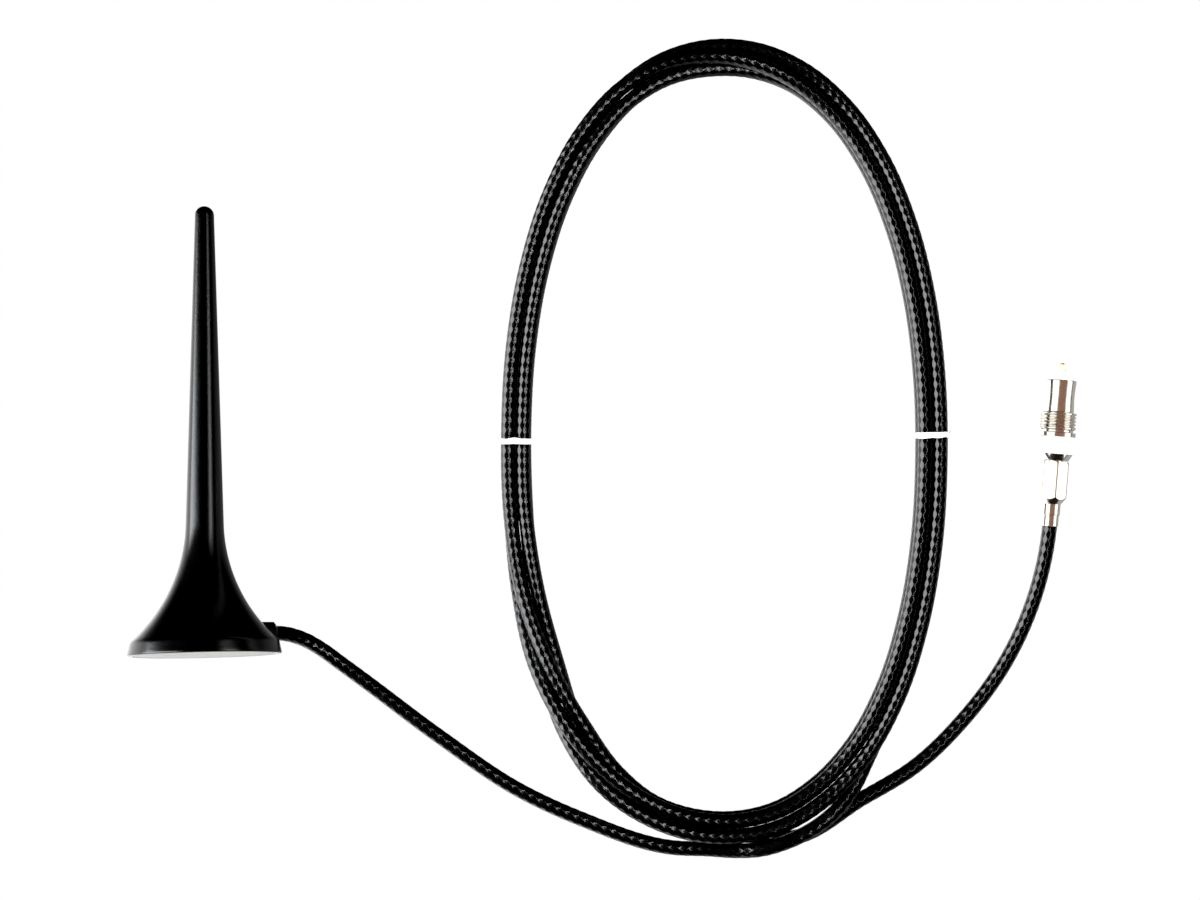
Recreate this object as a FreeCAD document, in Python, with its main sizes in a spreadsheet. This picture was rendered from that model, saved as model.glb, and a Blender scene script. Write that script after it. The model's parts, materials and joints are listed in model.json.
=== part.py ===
import FreeCAD, Part
import Sketcher
import math
import os

# Magnet-foot cellular whip antenna with its coiled coax lead and a small threaded radio plug.
# The object lies on a table: the antenna rests on the edge of its foot and on its tip, the lead
# is wound into an oval coil held by two twist ties, and the plug lies at the end of the lead.
#
# Frame, in millimetres: the origin is the centre of the magnet foot's face, +Z is up from the
# table, and +Y runs along the table from the foot towards the antenna's tip.

Vector = FreeCAD.Vector

# Driving dimensions. Each one becomes a named cell of the document's spreadsheet.
DIMENSIONS = {
    # antenna shell
    "foot_radius": 16.6,
    "rim_top_radius": 16.15,
    "rim_height": 2.5,
    "rim_corner": 1.8,
    "flare_foot_radius": 15.6,
    "flare_foot_height": 3.45,
    "flare_arc": 35.6,
    "mast_foot_radius": 4.16,
    "mast_foot_height": 28.4,
    "tip_radius": 2.14,
    "tip_shoulder": 98.88,
    "tip_flat": 0.3,
    "antenna_height": 101.0,
    "bore_radius": 15.2,
    "bore_depth": 2.85,
    "vault_radius": 12.2,
    "vault_height": 5.0,
    "throat_radius": 2.9,
    "throat_height": 27.0,
    "throat_arc": 40.94,
    "bore_tip_radius": 1.15,
    "bore_tip_height": 98.0,
    "boss_circle": 11.4,
    "boss_radius": 1.9,
    "boss_top": 5.1,
    "pilot_radius": 0.62,
    "pilot_top": 4.6,
    # how the antenna lies
    "roll": 32.0,
    "heading": 1.84,
    # cable gland in the side of the foot
    "gland_height": 4.6,
    "gland_flat": 2.62,
    "gland_inner_end": 12.2,
    "gland_end": 16.2,
    "gland_chamfer": 0.55,
    "gland_neck_radius": 2.15,
    "gland_neck_end": 10.8,
    "gland_neck_root": 12.7,
    "gland_hole_start": 9.3,
    "gland_seat": 2.95,
    "gland_bore": 1.68,
    # magnet foot
    "pad_thickness": 0.5,
    "pad_radius": 15.1,
    "magnet_radius": 9.2,
    "magnet_bottom": 0.53,
    "magnet_top": 1.98,
    "yoke_bottom": 2.0,
    "yoke_top": 2.8,
    "yoke_radius": 15.1,
    "yoke_notch": 3.1,
    "yoke_notch_start": 10.4,
    # screws
    "screw_radius": 0.6,
    "screw_head": 1.5,
    "screw_hole": 0.7,
    "base_screw_bottom": 0.9,
    "base_screw_top": 4.5,
    # matching board and what stands on it
    "standoff_circle": 6.5,
    "standoff_radius": 1.3,
    "standoff_tap_depth": 2.0,
    "board_bottom": 6.9,
    "board_top": 7.9,
    "board_radius": 9.0,
    "board_hole": 1.25,
    "board_screw_bottom": 5.1,
    "board_screw_top": 9.0,
    "feed_hole_x": 2.9,
    "feed_hole_radius": 0.34,
    "chip_length": 1.6,
    "chip_width": 0.8,
    "chip_height": 0.7,
    "small_chip_length": 1.0,
    "small_chip_width": 0.5,
    "small_chip_height": 0.4,
    "choke_length": 2.0,
    "choke_width": 1.25,
    "choke_height": 1.0,
    "stud_radius": 1.2,
    "stud_root": 6.5,
    "stud_flange": 1.9,
    "stud_flange_top": 8.7,
    "stud_top": 16.0,
    "former_radius": 1.1,
    "former_top": 58.0,
    "helix_radius": 1.75,
    "helix_wire": 0.3,
    "helix_pitch": 3.2,
    "helix_start": 17.0,
    "helix_turns": 9.0,
    "rod_radius": 0.5,
    "rod_top": 95.0,
    "spacer_radius": 1.3,
    "spacer_bottom": 84.0,
    "spacer_top": 88.0,
    # saddle that clamps the lead's braid to the yoke
    "saddle_start": 7.6,
    "saddle_end": 10.0,
    "saddle_reach": 4.4,
    "saddle_inner": 1.8,
    "saddle_outer": 2.4,
    "saddle_inner_top": 6.45,
    "saddle_outer_top": 6.65,
    "saddle_foot": 0.8,
    "saddle_screw_y": 3.3,
    "saddle_screw_head": 0.8,
    "saddle_head_height": 0.7,
    # stripped end of the lead inside the foot
    "feed_end": 16.6,
    "feed_jacket_stop": 7.8,
    "feed_braid_stop": 6.2,
    "feed_dielectric_stop": 4.6,
    "feed_bend": 0.9,
    "feed_wire_top": 8.2,
    # coax cable
    "cable_radius": 1.65,
    "jacket_bore": 1.22,
    "braid_radius": 1.18,
    "braid_bore": 0.83,
    "dielectric_radius": 0.79,
    "dielectric_bore": 0.27,
    "conductor_radius": 0.24,
    # coil of the lead on the table
    "coil_x": 114.2,
    "coil_y": 46.0,
    "coil_half_width": 46.8,
    "coil_half_length": 87.1,
    "coil_squareness": 2.18,
    "coil_tuck": 0.8,
    "strand_pitch": 3.4,
    "twist_spread": 0.05,
    "turns": 4.0,
    # twist ties round the coil
    "tie_half_width": 0.65,
    "tie_thickness": 0.35,
    "tie_clearance": 0.06,
    "tie_corner": 1.75,
    "tie_core": 0.12,
    "pigtail_length": 1.2,
    "tie_left_angle": 179.5,
    "tie_right_angle": 1.4,
    # plug
    "plug_x": 187.4,
    "plug_y": 27.7,
    "plug_height": 4.4,
    "plug_heading": -4.7,
    "plug_roll": 30.0,
    "tail_radius": 1.85,
    "tail_step_radius": 2.02,
    "tail_step": 2.5,
    "tail_end": 5.0,
    "ferrule_flat": 2.85,
    "ferrule_start": 6.2,
    "ferrule_cone_end": 6.6,
    "ferrule_cone_radius": 2.95,
    "ferrule_end": 14.6,
    "ferrule_bore": 2.3,
    "ferrule_bore_start": 6.5,
    "crimped_braid_radius": 2.25,
    "crimped_braid_bore": 1.9,
    "post_radius": 1.85,
    "post_bore": 0.83,
    "post_start": 7.3,
    "braid_flare_start": 6.5,
    "braid_flare_end": 7.1,
    "braid_bore_flare_end": 7.15,
    "crimped_braid_end": 14.35,
    "dielectric_end": 20.5,
    "conductor_end": 22.3,
    "neck_radius": 2.95,
    "neck_start": 14.75,
    "neck_flare": 3.8,
    "collar_start": 16.3,
    "collar_end": 20.1,
    "collar_seat": 3.4,
    "collar_bore": 3.45,
    "collar_radius": 4.25,
    "collar_bevel": 0.35,
    "shoulder_radius": 4.05,
    "shoulder_end": 21.2,
    "undercut_radius": 3.45,
    "undercut_end": 21.7,
    "thread_radius": 4.0,
    "thread_pitch": 0.75,
    "thread_depth": 0.46,
    "thread_start": 22.15,
    "thread_end": 25.3,
    "groove_start": 21.35,
    "groove_end": 25.65,
    "groove_half_mouth": 0.33,
    "groove_half_root": 0.05,
    "groove_rise": 0.05,
    "nose_root": 25.7,
    "nose_radius": 3.25,
    "nose_end": 32.9,
    "nose_bevel": 0.2,
    "nose_bore": 2.35,
    "nose_bore_start": 22.0,
    "nose_bore_cone": 21.0,
    "insulator_radius": 2.25,
    "insulator_start": 22.1,
    "insulator_end": 34.5,
    "contact_radius": 0.65,
    "contact_start": 20.6,
    "contact_end": 36.8,
    "contact_tip": 0.5,
    "contact_cup": 0.3,
    "contact_cup_end": 22.4,
    # clearances, and how far a cut runs past a face
    "fit_gap": 0.03,
    "stack_gap": 0.02,
    "cut_margin": 1.0,
    "mouth_gap": 2.5,
    "bend_gap": 1.0,
}

# Bends of the lead between the antenna and the coil, as (x, y, height above the table).
TAIL_BENDS = [(19.6, 2.2, 4.0), (23.4, -0.2, 2.55), (27.6, -3.4, 1.85), (33.0, -7.4, 1.65),
              (50.0, -20.1, 1.65), (68.2, -32.3, 1.65), (81.8, -38.6, 1.65)]

# First strand as it joins the coil: (turn angle, distance outside the coil's line, height).
# It climbs over the last strand, then settles into the lower outer place.
JOINING = [(258.0, 6.4, 1.65), (266.0, 5.35, 1.65), (273.0, 5.5, 2.5), (279.0, 5.5, 4.4),
           (285.0, 5.4, 5.2), (291.0, 5.4, 5.4), (297.0, 5.2, 5.05), (303.0, 4.5, 3.3),
           (309.0, 3.05, 1.85), (315.0, 2.0, 1.65)]

# Last strand as it leaves the coil under the first one.
LEAVING = [(268.0, 1.75, 1.65), (274.0, 2.1, 1.65), (280.0, 3.4, 1.65), (286.0, 5.6, 1.65)]

# Bends of the lead between the coil and the plug, as (x, y, height above the table).
LEAD_PIVOT = (145.8, -34.0, 1.65)
LEAD_BENDS = [(157.7, -26.7, 1.65), (168.8, -15.9, 1.65), (176.9, -5.0, 1.9), (183.6, 9.5, 3.0)]

REGULAR_START = 321.0
REGULAR_END = 262.0
TURN_STEP = 12.0
FULL_TURN = 360.0

document = FreeCAD.newDocument("whip_antenna_with_lead")
sheet = document.addObject("Spreadsheet::Sheet", "dims")


def fill_sheet():
    for row, (name, value) in enumerate(DIMENSIONS.items(), start=1):
        sheet.set("A%d" % row, name)
        sheet.set("B%d" % row, str(value))
        sheet.setAlias("B%d" % row, name)
    document.recompute()


class Size:
    """A length or angle that knows both its value and its spreadsheet expression."""

    def __init__(self, value, text):
        self.value = value
        self.text = text

    def join(self, other, sign, result):
        text = other.text if isinstance(other, Size) else repr(float(other))
        return Size(result, "(%s %s %s)" % (self.text, sign, text))

    def __add__(self, other):
        return self.join(other, "+", self.value + number(other))

    def __sub__(self, other):
        return self.join(other, "-", self.value - number(other))

    def __mul__(self, other):
        return self.join(other, "*", self.value * number(other))

    def __neg__(self):
        return Size(-self.value, "(0 - %s)" % self.text)


def number(size):
    return size.value if isinstance(size, Size) else float(size)


def dim(name):
    return Size(float(sheet.get(name)), "dims.%s" % name)


fill_sheet()
ZERO = Size(0.0, "0")
FOOT_RADIUS = number(dim("foot_radius"))
CABLE_RADIUS = number(dim("cable_radius"))


# ---------------------------------------------------------------- where each group of parts lies

def lying_tilt():
    """Angle, in degrees, by which the antenna's axis dips so that foot rim and tip both touch."""
    tip_radius = number(dim("tip_radius"))
    tip_height = number(dim("antenna_height")) - tip_radius
    reach = math.hypot(FOOT_RADIUS, tip_height)
    return math.degrees(math.atan2(FOOT_RADIUS, tip_height) - math.asin(tip_radius / reach))


TILT = lying_tilt()
TABLE_Z = -FOOT_RADIUS * math.cos(math.radians(TILT))


def antenna_placement():
    """The antenna's own frame has its axis on +Z, its foot at 0 and its cable leaving along +X."""
    heading = FreeCAD.Rotation(Vector(0, 0, 1), number(dim("heading")))
    laid_down = FreeCAD.Rotation(Vector(1, 0, 0), -(90.0 + TILT))
    roll = FreeCAD.Rotation(Vector(0, 0, 1), number(dim("roll")))
    return FreeCAD.Placement(Vector(0, 0, 0), heading * laid_down * roll)


def plug_placement():
    """The plug's own frame has its axis on +Z, starting where the cable enters."""
    heading = FreeCAD.Rotation(Vector(0, 0, 1), number(dim("plug_heading")))
    laid_down = FreeCAD.Rotation(Vector(1, 0, 0), -90.0)
    spun = FreeCAD.Rotation(Vector(0, 0, 1), number(dim("plug_roll")))
    place = Vector(number(dim("plug_x")), number(dim("plug_y")), TABLE_Z + number(dim("plug_height")))
    return FreeCAD.Placement(place, heading * laid_down * spun)


ANTENNA = antenna_placement()
PLUG = plug_placement()
parts = []


def keep(node):
    """Registers a finished sub-part; its label names its file."""
    parts.append(node)
    return node


# ---------------------------------------------------------------- sketch and body helpers

def new_body(label, placement):
    body = document.addObject("PartDesign::Body", label)
    body.Label = label
    body.Placement = placement
    return keep(body)


def new_sketch(body, plane, name, offset=None):
    """Makes a sketch on one of the body's own origin planes, raised by offset along its normal."""
    sketch = body.newObject("Sketcher::SketchObject", name)
    support = [feature for feature in body.Origin.OriginFeatures if feature.Role == plane][0]
    sketch.AttachmentSupport = [(support, "")]
    sketch.MapMode = "FlatFace"
    if offset is not None:
        sketch.setExpression("AttachmentOffset.Base.z", offset.text)
    return sketch


def arc_between(first, second, radius):
    """Arc geometry from first to second; a positive radius curves anticlockwise."""
    chord = second - first
    middle = (first + second) * 0.5
    rise = math.sqrt(radius * radius - chord.Length * chord.Length / 4.0)
    left = Vector(-chord.y, chord.x, 0) * (1.0 / chord.Length)
    centre = middle + left * math.copysign(rise, radius)
    circle = Part.Circle(centre, Vector(0, 0, 1), abs(radius))
    start, end = (first, second) if radius > 0 else (second, first)
    start_angle = math.atan2(start.y - centre.y, start.x - centre.x)
    end_angle = math.atan2(end.y - centre.y, end.x - centre.x)
    return Part.ArcOfCircle(circle, start_angle, end_angle)


def bind(sketch, constraint, size):
    index = sketch.addConstraint(constraint)
    if "dims." in size.text:
        sketch.setExpression("Constraints[%d]" % index, size.text)


def place_point(sketch, geometry, end, x, y):
    """Ties one end of a sketch line or arc to its x and y."""
    for size, kind, axis in ((x, "DistanceX", -2), (y, "DistanceY", -1)):
        if number(size) == 0.0:
            sketch.addConstraint(Sketcher.Constraint("PointOnObject", geometry, end, axis))
        else:
            bind(sketch, Sketcher.Constraint(kind, -1, 1, geometry, end, number(size)), size)


def draw_outline(sketch, outline):
    """Draws a closed outline. Each entry is (x, y), or (x, y, radius) where an arc leads on."""
    corners = [Vector(number(entry[0]), number(entry[1]), 0) for entry in outline]
    ends = []
    for index, entry in enumerate(outline):
        first = corners[index]
        second = corners[(index + 1) % len(corners)]
        if len(entry) == 2:
            geometry = sketch.addGeometry(Part.LineSegment(first, second), False)
            ends.append((geometry, 1, 2))
        else:
            geometry = sketch.addGeometry(arc_between(first, second, number(entry[2])), False)
            ends.append((geometry, 1, 2) if number(entry[2]) > 0 else (geometry, 2, 1))
    for index, (geometry, _, last) in enumerate(ends):
        following, start, _ = ends[(index + 1) % len(ends)]
        sketch.addConstraint(Sketcher.Constraint("Coincident", geometry, last, following, start))
    for (geometry, start, _), entry in zip(ends, outline):
        place_point(sketch, geometry, start, entry[0], entry[1])
        if len(entry) == 3:
            size = entry[2] if number(entry[2]) > 0 else -entry[2]
            bind(sketch, Sketcher.Constraint("Radius", geometry, number(size)), size)


def draw_circle(sketch, x, y, radius):
    centre = Vector(number(x), number(y), 0)
    geometry = sketch.addGeometry(Part.Circle(centre, Vector(0, 0, 1), number(radius)), False)
    place_point(sketch, geometry, 3, x, y)
    bind(sketch, Sketcher.Constraint("Radius", geometry, number(radius)), radius)


def revolve(body, outline):
    """Turns an outline of (radius, height) points about the body's own Z axis."""
    sketch = new_sketch(body, "XZ_Plane", body.Name + "_outline")
    draw_outline(sketch, outline)
    feature = body.newObject("PartDesign::Revolution", body.Name + "_turned")
    feature.Profile = sketch
    feature.ReferenceAxis = (sketch, ["V_Axis"])
    feature.Angle = FULL_TURN
    sketch.Visibility = False


def turned_part(label, placement, outline):
    body = new_body(label, placement)
    revolve(body, outline)
    return body


def ring_outline(inner, outer, bottom, top):
    return [(inner, bottom), (outer, bottom), (outer, top), (inner, top)]


def pad(body, sketch, length):
    feature = body.newObject("PartDesign::Pad", sketch.Name + "_pad")
    feature.Profile = sketch
    feature.setExpression("Length", length.text)
    return feature


def pocket(body, sketch, length):
    """Cuts along the sketch's normal, and checks that material was really removed."""
    document.recompute()
    before = body.Shape.Volume
    feature = body.newObject("PartDesign::Pocket", sketch.Name + "_pocket")
    feature.Profile = sketch
    feature.setExpression("Length", length.text)
    feature.Reversed = True
    document.recompute()
    if not body.Shape.Volume < before:
        raise RuntimeError("pocket %s cuts nothing" % sketch.Name)


def around(radius, angle):
    """Point at an angle, in degrees, on a circle about the body's axis."""
    place = []
    for share in (math.cos(math.radians(angle)), math.sin(math.radians(angle))):
        place.append(radius * share if abs(share) > 1e-9 else ZERO)
    return place


SCREW_ANGLES = (60.0, 180.0, 300.0)


def screw_places(circle):
    """Number and place of each of three screws on a circle about the axis."""
    for count, angle in enumerate(SCREW_ANGLES):
        x, y = around(circle, angle)
        yield count, x, y


# ---------------------------------------------------------------- antenna shell and gland

def make_radome_shell():
    """One black moulding: a flared foot that runs up into a slim tapering mast."""
    tip_radius = dim("tip_radius")
    outline = [
        (dim("bore_radius"), ZERO),
        (dim("foot_radius"), ZERO),
        (dim("rim_top_radius"), dim("rim_height"), dim("rim_corner")),
        (dim("flare_foot_radius"), dim("flare_foot_height"), -dim("flare_arc")),
        (dim("mast_foot_radius"), dim("mast_foot_height")),
        (tip_radius, dim("tip_shoulder"), tip_radius),
        (dim("tip_flat"), dim("antenna_height")),
        (ZERO, dim("antenna_height")),
        (ZERO, dim("bore_tip_height")),
        (dim("bore_tip_radius"), dim("bore_tip_height")),
        (dim("throat_radius"), dim("throat_height"), dim("throat_arc")),
        (dim("vault_radius"), dim("vault_height")),
        (dim("bore_radius"), dim("bore_depth")),
    ]
    body = new_body("radome_shell", ANTENNA)
    revolve(body, outline)
    add_screw_bosses(body)
    cut_gland_seat(body)


def add_screw_bosses(body):
    """Three bosses under the flare take the screws that hold the magnet yoke."""
    bosses = new_sketch(body, "XY_Plane", "bosses", dim("bore_depth"))
    pilots = new_sketch(body, "XY_Plane", "pilots", dim("bore_depth"))
    for _, x, y in screw_places(dim("boss_circle")):
        draw_circle(bosses, x, y, dim("boss_radius"))
        draw_circle(pilots, x, y, dim("pilot_radius"))
    pad(body, bosses, dim("boss_top") - dim("bore_depth"))
    pocket(body, pilots, dim("pilot_top") - dim("bore_depth"))


def cut_gland_seat(body):
    """A round seat across the rim takes the gland, and a smaller hole lets its neck inside."""
    hole = new_sketch(body, "YZ_Plane", "gland_hole", dim("gland_hole_start"))
    draw_circle(hole, ZERO, dim("gland_height"), dim("gland_neck_radius") + dim("fit_gap"))
    pocket(body, hole, dim("gland_end"))
    seat = new_sketch(body, "YZ_Plane", "gland_seat", dim("gland_inner_end"))
    draw_circle(seat, ZERO, dim("gland_height"), dim("gland_seat"))
    pocket(body, seat, dim("gland_end"))


def make_cable_gland():
    """Eight-sided strain relief that grips the lead where it leaves the foot."""
    body = new_body("cable_gland", ANTENNA)
    half = dim("gland_flat")
    corner = half * math.tan(math.radians(22.5))
    height = dim("gland_height")
    outline = [(half, height - corner), (half, height + corner),
               (corner, height + half), (-corner, height + half),
               (-half, height + corner), (-half, height - corner),
               (-corner, height - half), (corner, height - half)]
    head = new_sketch(body, "YZ_Plane", "gland_head", dim("gland_inner_end") + dim("fit_gap"))
    draw_outline(head, outline)
    head_pad = pad(body, head, dim("gland_end") - dim("gland_inner_end") - dim("fit_gap"))
    document.recompute()
    bevel_outer_end(body, head_pad)
    neck = new_sketch(body, "YZ_Plane", "gland_neck", dim("gland_neck_end"))
    draw_circle(neck, ZERO, height, dim("gland_neck_radius"))
    pad(body, neck, dim("gland_neck_root") - dim("gland_neck_end"))
    bore = new_sketch(body, "YZ_Plane", "gland_bore", dim("gland_neck_end") - dim("cut_margin"))
    draw_circle(bore, ZERO, height, dim("gland_bore"))
    pocket(body, bore, dim("gland_end"))


def bevel_outer_end(body, head_pad):
    """Chamfers the edges of the gland's outer end face."""
    end = number(dim("gland_end"))
    edges = []
    for index, edge in enumerate(head_pad.Shape.Edges, start=1):
        if all(abs(vertex.Point.x - end) < 1e-6 for vertex in edge.Vertexes):
            edges.append("Edge%d" % index)
    chamfer = body.newObject("PartDesign::Chamfer", "gland_bevel")
    chamfer.Base = (head_pad, edges)
    chamfer.setExpression("Size", dim("gland_chamfer").text)


# ---------------------------------------------------------------- magnet foot and inner parts

def saddle_screw_places():
    """Number and place of the two screws that hold the saddle, one each side of the lead."""
    middle = (dim("saddle_start") + dim("saddle_end")) * 0.5
    return [(0, middle, dim("saddle_screw_y")), (1, middle, -dim("saddle_screw_y"))]


def make_foot_pad():
    turned_part("foot_pad", ANTENNA,
                ring_outline(ZERO, dim("pad_radius"), ZERO, dim("pad_thickness")))


def make_magnet_disc():
    turned_part("magnet_disc", ANTENNA, ring_outline(
        ZERO, dim("magnet_radius"), dim("magnet_bottom"), dim("magnet_top")))


def make_magnet_yoke():
    """Steel plate that backs the magnet and carries the screws, notched for the gland."""
    body = turned_part("magnet_yoke", ANTENNA, ring_outline(
        ZERO, dim("yoke_radius"), dim("yoke_bottom"), dim("yoke_top")))
    notch = new_sketch(body, "XY_Plane", "yoke_notch", dim("yoke_bottom"))
    half = dim("yoke_notch")
    far = dim("yoke_radius") + dim("cut_margin")
    draw_outline(notch, [(dim("yoke_notch_start"), -half), (far, -half),
                         (far, half), (dim("yoke_notch_start"), half)])
    pocket(body, notch, dim("yoke_top"))
    holes = new_sketch(body, "XY_Plane", "yoke_holes", dim("yoke_bottom"))
    for _, x, y in list(screw_places(dim("boss_circle"))) + saddle_screw_places():
        draw_circle(holes, x, y, dim("screw_hole"))
    pocket(body, holes, dim("yoke_top"))


def cylinder(name, radius, bottom, top, x=ZERO, y=ZERO):
    """A Part cylinder about Z whose sizes and place are bound to the sheet."""
    solid = document.addObject("Part::Cylinder", name)
    solid.setExpression("Radius", radius.text)
    solid.setExpression("Height", "%s - %s" % (top.text, bottom.text))
    solid.setExpression("Placement.Base.x", x.text)
    solid.setExpression("Placement.Base.y", y.text)
    solid.setExpression("Placement.Base.z", bottom.text)
    return solid


def group(label, placement, members):
    """Several alike solids as one node."""
    compound = document.addObject("Part::Compound", label)
    compound.Label = label
    compound.Links = members
    compound.Placement = placement
    return keep(compound)


def fused(name, first, second):
    joined = document.addObject("Part::Fuse", name)
    joined.Base = first
    joined.Tool = second
    return joined


def screw(name, x, y, low, high, head_low, head_high):
    """A pan-head screw: a shank from low to high and a head between its own two heights."""
    shank = cylinder(name + "_shank", dim("screw_radius"), low, high, x, y)
    head = cylinder(name + "_head", dim("screw_head"), head_low, head_high, x, y)
    return fused(name, shank, head)


def make_base_screws():
    screws = []
    head_top = dim("yoke_bottom") - dim("stack_gap")
    for count, x, y in screw_places(dim("boss_circle")):
        screws.append(screw("base_screw_%d" % count, x, y, dim("base_screw_bottom"),
                            dim("base_screw_top"), dim("base_screw_bottom"), head_top))
    group("base_screws", ANTENNA, screws)


def make_board_standoffs():
    """Three brass pillars that hold the board clear of the lead; each has a blind tapped bore."""
    pillars = []
    low = dim("yoke_top") + dim("stack_gap")
    high = dim("board_bottom") - dim("stack_gap")
    tap_end = high - dim("standoff_tap_depth")
    for count, x, y in screw_places(dim("standoff_circle")):
        outer = cylinder("standoff_%d_body" % count, dim("standoff_radius"), low, high, x, y)
        bore = cylinder("standoff_%d_bore" % count, dim("screw_hole"), tap_end, high, x, y)
        pillar = document.addObject("Part::Cut", "standoff_%d" % count)
        pillar.Base = outer
        pillar.Tool = bore
        pillars.append(pillar)
    group("board_standoffs", ANTENNA, pillars)


def make_board_screws():
    screws = []
    head_bottom = dim("board_top") + dim("stack_gap")
    for count, x, y in screw_places(dim("standoff_circle")):
        screws.append(screw("board_screw_%d" % count, x, y, dim("board_screw_bottom"),
                            dim("board_screw_top"), head_bottom, dim("board_screw_top")))
    group("board_screws", ANTENNA, screws)


def make_matching_board():
    """Round circuit board with the mast stud in its middle and a hole for the feed wire."""
    body = turned_part("matching_board", ANTENNA, ring_outline(
        dim("board_hole"), dim("board_radius"), dim("board_bottom"), dim("board_top")))
    holes = new_sketch(body, "XY_Plane", "board_holes", dim("board_bottom"))
    draw_circle(holes, dim("feed_hole_x"), ZERO, dim("feed_hole_radius"))
    for _, x, y in screw_places(dim("standoff_circle")):
        draw_circle(holes, x, y, dim("screw_hole"))
    pocket(body, holes, dim("board_top"))


# Components on the board: which kind each one is, and where its corner sits.
COMPONENTS = (("chip", -4.2, 2.3), ("chip", -4.2, -1.4), ("small_chip", -1.6, -3.6), ("choke", -1.4, 3.8))


def make_board_components():
    """Matching coils and capacitors on top of the board."""
    chips = []
    for count, (kind, x, y) in enumerate(COMPONENTS):
        chip = document.addObject("Part::Box", "%s_%d" % (kind, count))
        chip.setExpression("Length", dim(kind + "_length").text)
        chip.setExpression("Width", dim(kind + "_width").text)
        chip.setExpression("Height", dim(kind + "_height").text)
        chip.Placement.Base = Vector(x, y, 0)
        chip.setExpression("Placement.Base.z", (dim("board_top") + dim("fit_gap")).text)
        chips.append(chip)
    group("board_components", ANTENNA, chips)


def make_mast_stud():
    """Brass stud soldered through the board; the mast parts stand on it."""
    radius = dim("stud_radius")
    flange_bottom = dim("board_top") + dim("stack_gap")
    turned_part("mast_stud", ANTENNA, [
        (ZERO, dim("stud_root")), (radius, dim("stud_root")), (radius, flange_bottom),
        (dim("stud_flange"), flange_bottom), (dim("stud_flange"), dim("stud_flange_top")),
        (radius, dim("stud_flange_top")), (radius, dim("stud_top")), (ZERO, dim("stud_top"))])


def make_coil_former():
    turned_part("coil_former", ANTENNA, ring_outline(
        ZERO, dim("former_radius"), dim("stud_top") + dim("stack_gap"), dim("former_top")))


def make_radiator_rod():
    turned_part("radiator_rod", ANTENNA, ring_outline(
        ZERO, dim("rod_radius"), dim("former_top") + dim("stack_gap"), dim("rod_top")))


def make_rod_spacer():
    """Foam ring that keeps the thin rod in the middle of the mast."""
    turned_part("rod_spacer", ANTENNA, ring_outline(
        dim("rod_radius") + dim("fit_gap"), dim("spacer_radius"), dim("spacer_bottom"), dim("spacer_top")))


def make_radiator_helix():
    """Open wire helix round the former, the lower part of the radiator."""
    height = number(dim("helix_pitch")) * number(dim("helix_turns"))
    spiral = Part.makeHelix(number(dim("helix_pitch")), height, number(dim("helix_radius")))
    spiral.translate(Vector(0, 0, number(dim("helix_start"))))
    start = spiral.Edges[0].valueAt(spiral.Edges[0].FirstParameter)
    along = spiral.Edges[0].tangentAt(spiral.Edges[0].FirstParameter)
    section = Part.Wire([Part.Edge(Part.Circle(start, along, number(dim("helix_wire"))))])
    wire = Part.Wire(spiral.Edges).makePipeShell([section], True, True)
    shape_part("radiator_helix", wire, ANTENNA)


def make_shield_saddle():
    """Bent strip that presses the lead down on the yoke, with a screw through each foot."""
    body = new_body("shield_saddle", ANTENNA)
    reach = dim("saddle_reach")
    inner = dim("saddle_inner")
    outer = dim("saddle_outer")
    low = dim("yoke_top") + dim("stack_gap")
    foot_top = low + dim("saddle_foot")
    inner_top = dim("saddle_inner_top")
    outer_top = dim("saddle_outer_top")
    outline = [(-reach, low), (-inner, low), (-inner, inner_top), (inner, inner_top),
               (inner, low), (reach, low), (reach, foot_top), (outer, foot_top),
               (outer, outer_top), (-outer, outer_top), (-outer, foot_top), (-reach, foot_top)]
    section = new_sketch(body, "YZ_Plane", "saddle_section", dim("saddle_start"))
    draw_outline(section, outline)
    pad(body, section, dim("saddle_end") - dim("saddle_start"))
    holes = new_sketch(body, "XY_Plane", "saddle_holes", dim("yoke_bottom"))
    for _, x, y in saddle_screw_places():
        draw_circle(holes, x, y, dim("screw_hole"))
    pocket(body, holes, foot_top)


def make_saddle_screws():
    low = dim("yoke_bottom") + dim("stack_gap")
    head_bottom = dim("yoke_top") + dim("saddle_foot") + dim("stack_gap") * 2.0
    high = head_bottom + dim("saddle_head_height")
    screws = []
    for count, x, y in saddle_screw_places():
        shank = cylinder("saddle_screw_%d_shank" % count, dim("screw_radius"), low, high, x, y)
        head = cylinder("saddle_screw_%d_head" % count, dim("saddle_screw_head"),
                        head_bottom, high, x, y)
        screws.append(fused("saddle_screw_%d" % count, shank, head))
    group("saddle_screws", ANTENNA, screws)


# ---------------------------------------------------------------- cable paths made of tangent arcs

def unit(vector):
    copy = Vector(vector)
    copy.normalize()
    return copy


def point_tangents(points, first=None, last=None):
    """Direction at each point of a path, from its neighbours on both sides."""
    tangents = [first or unit(points[1] - points[0])]
    for before, here, after in zip(points, points[1:], points[2:]):
        back = here - before
        ahead = after - here
        ratio = ahead.Length / back.Length
        tangents.append(unit(back * ratio + ahead * (1.0 / ratio)))
    tangents.append(last or unit(points[-1] - points[-2]))
    return tangents


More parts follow.
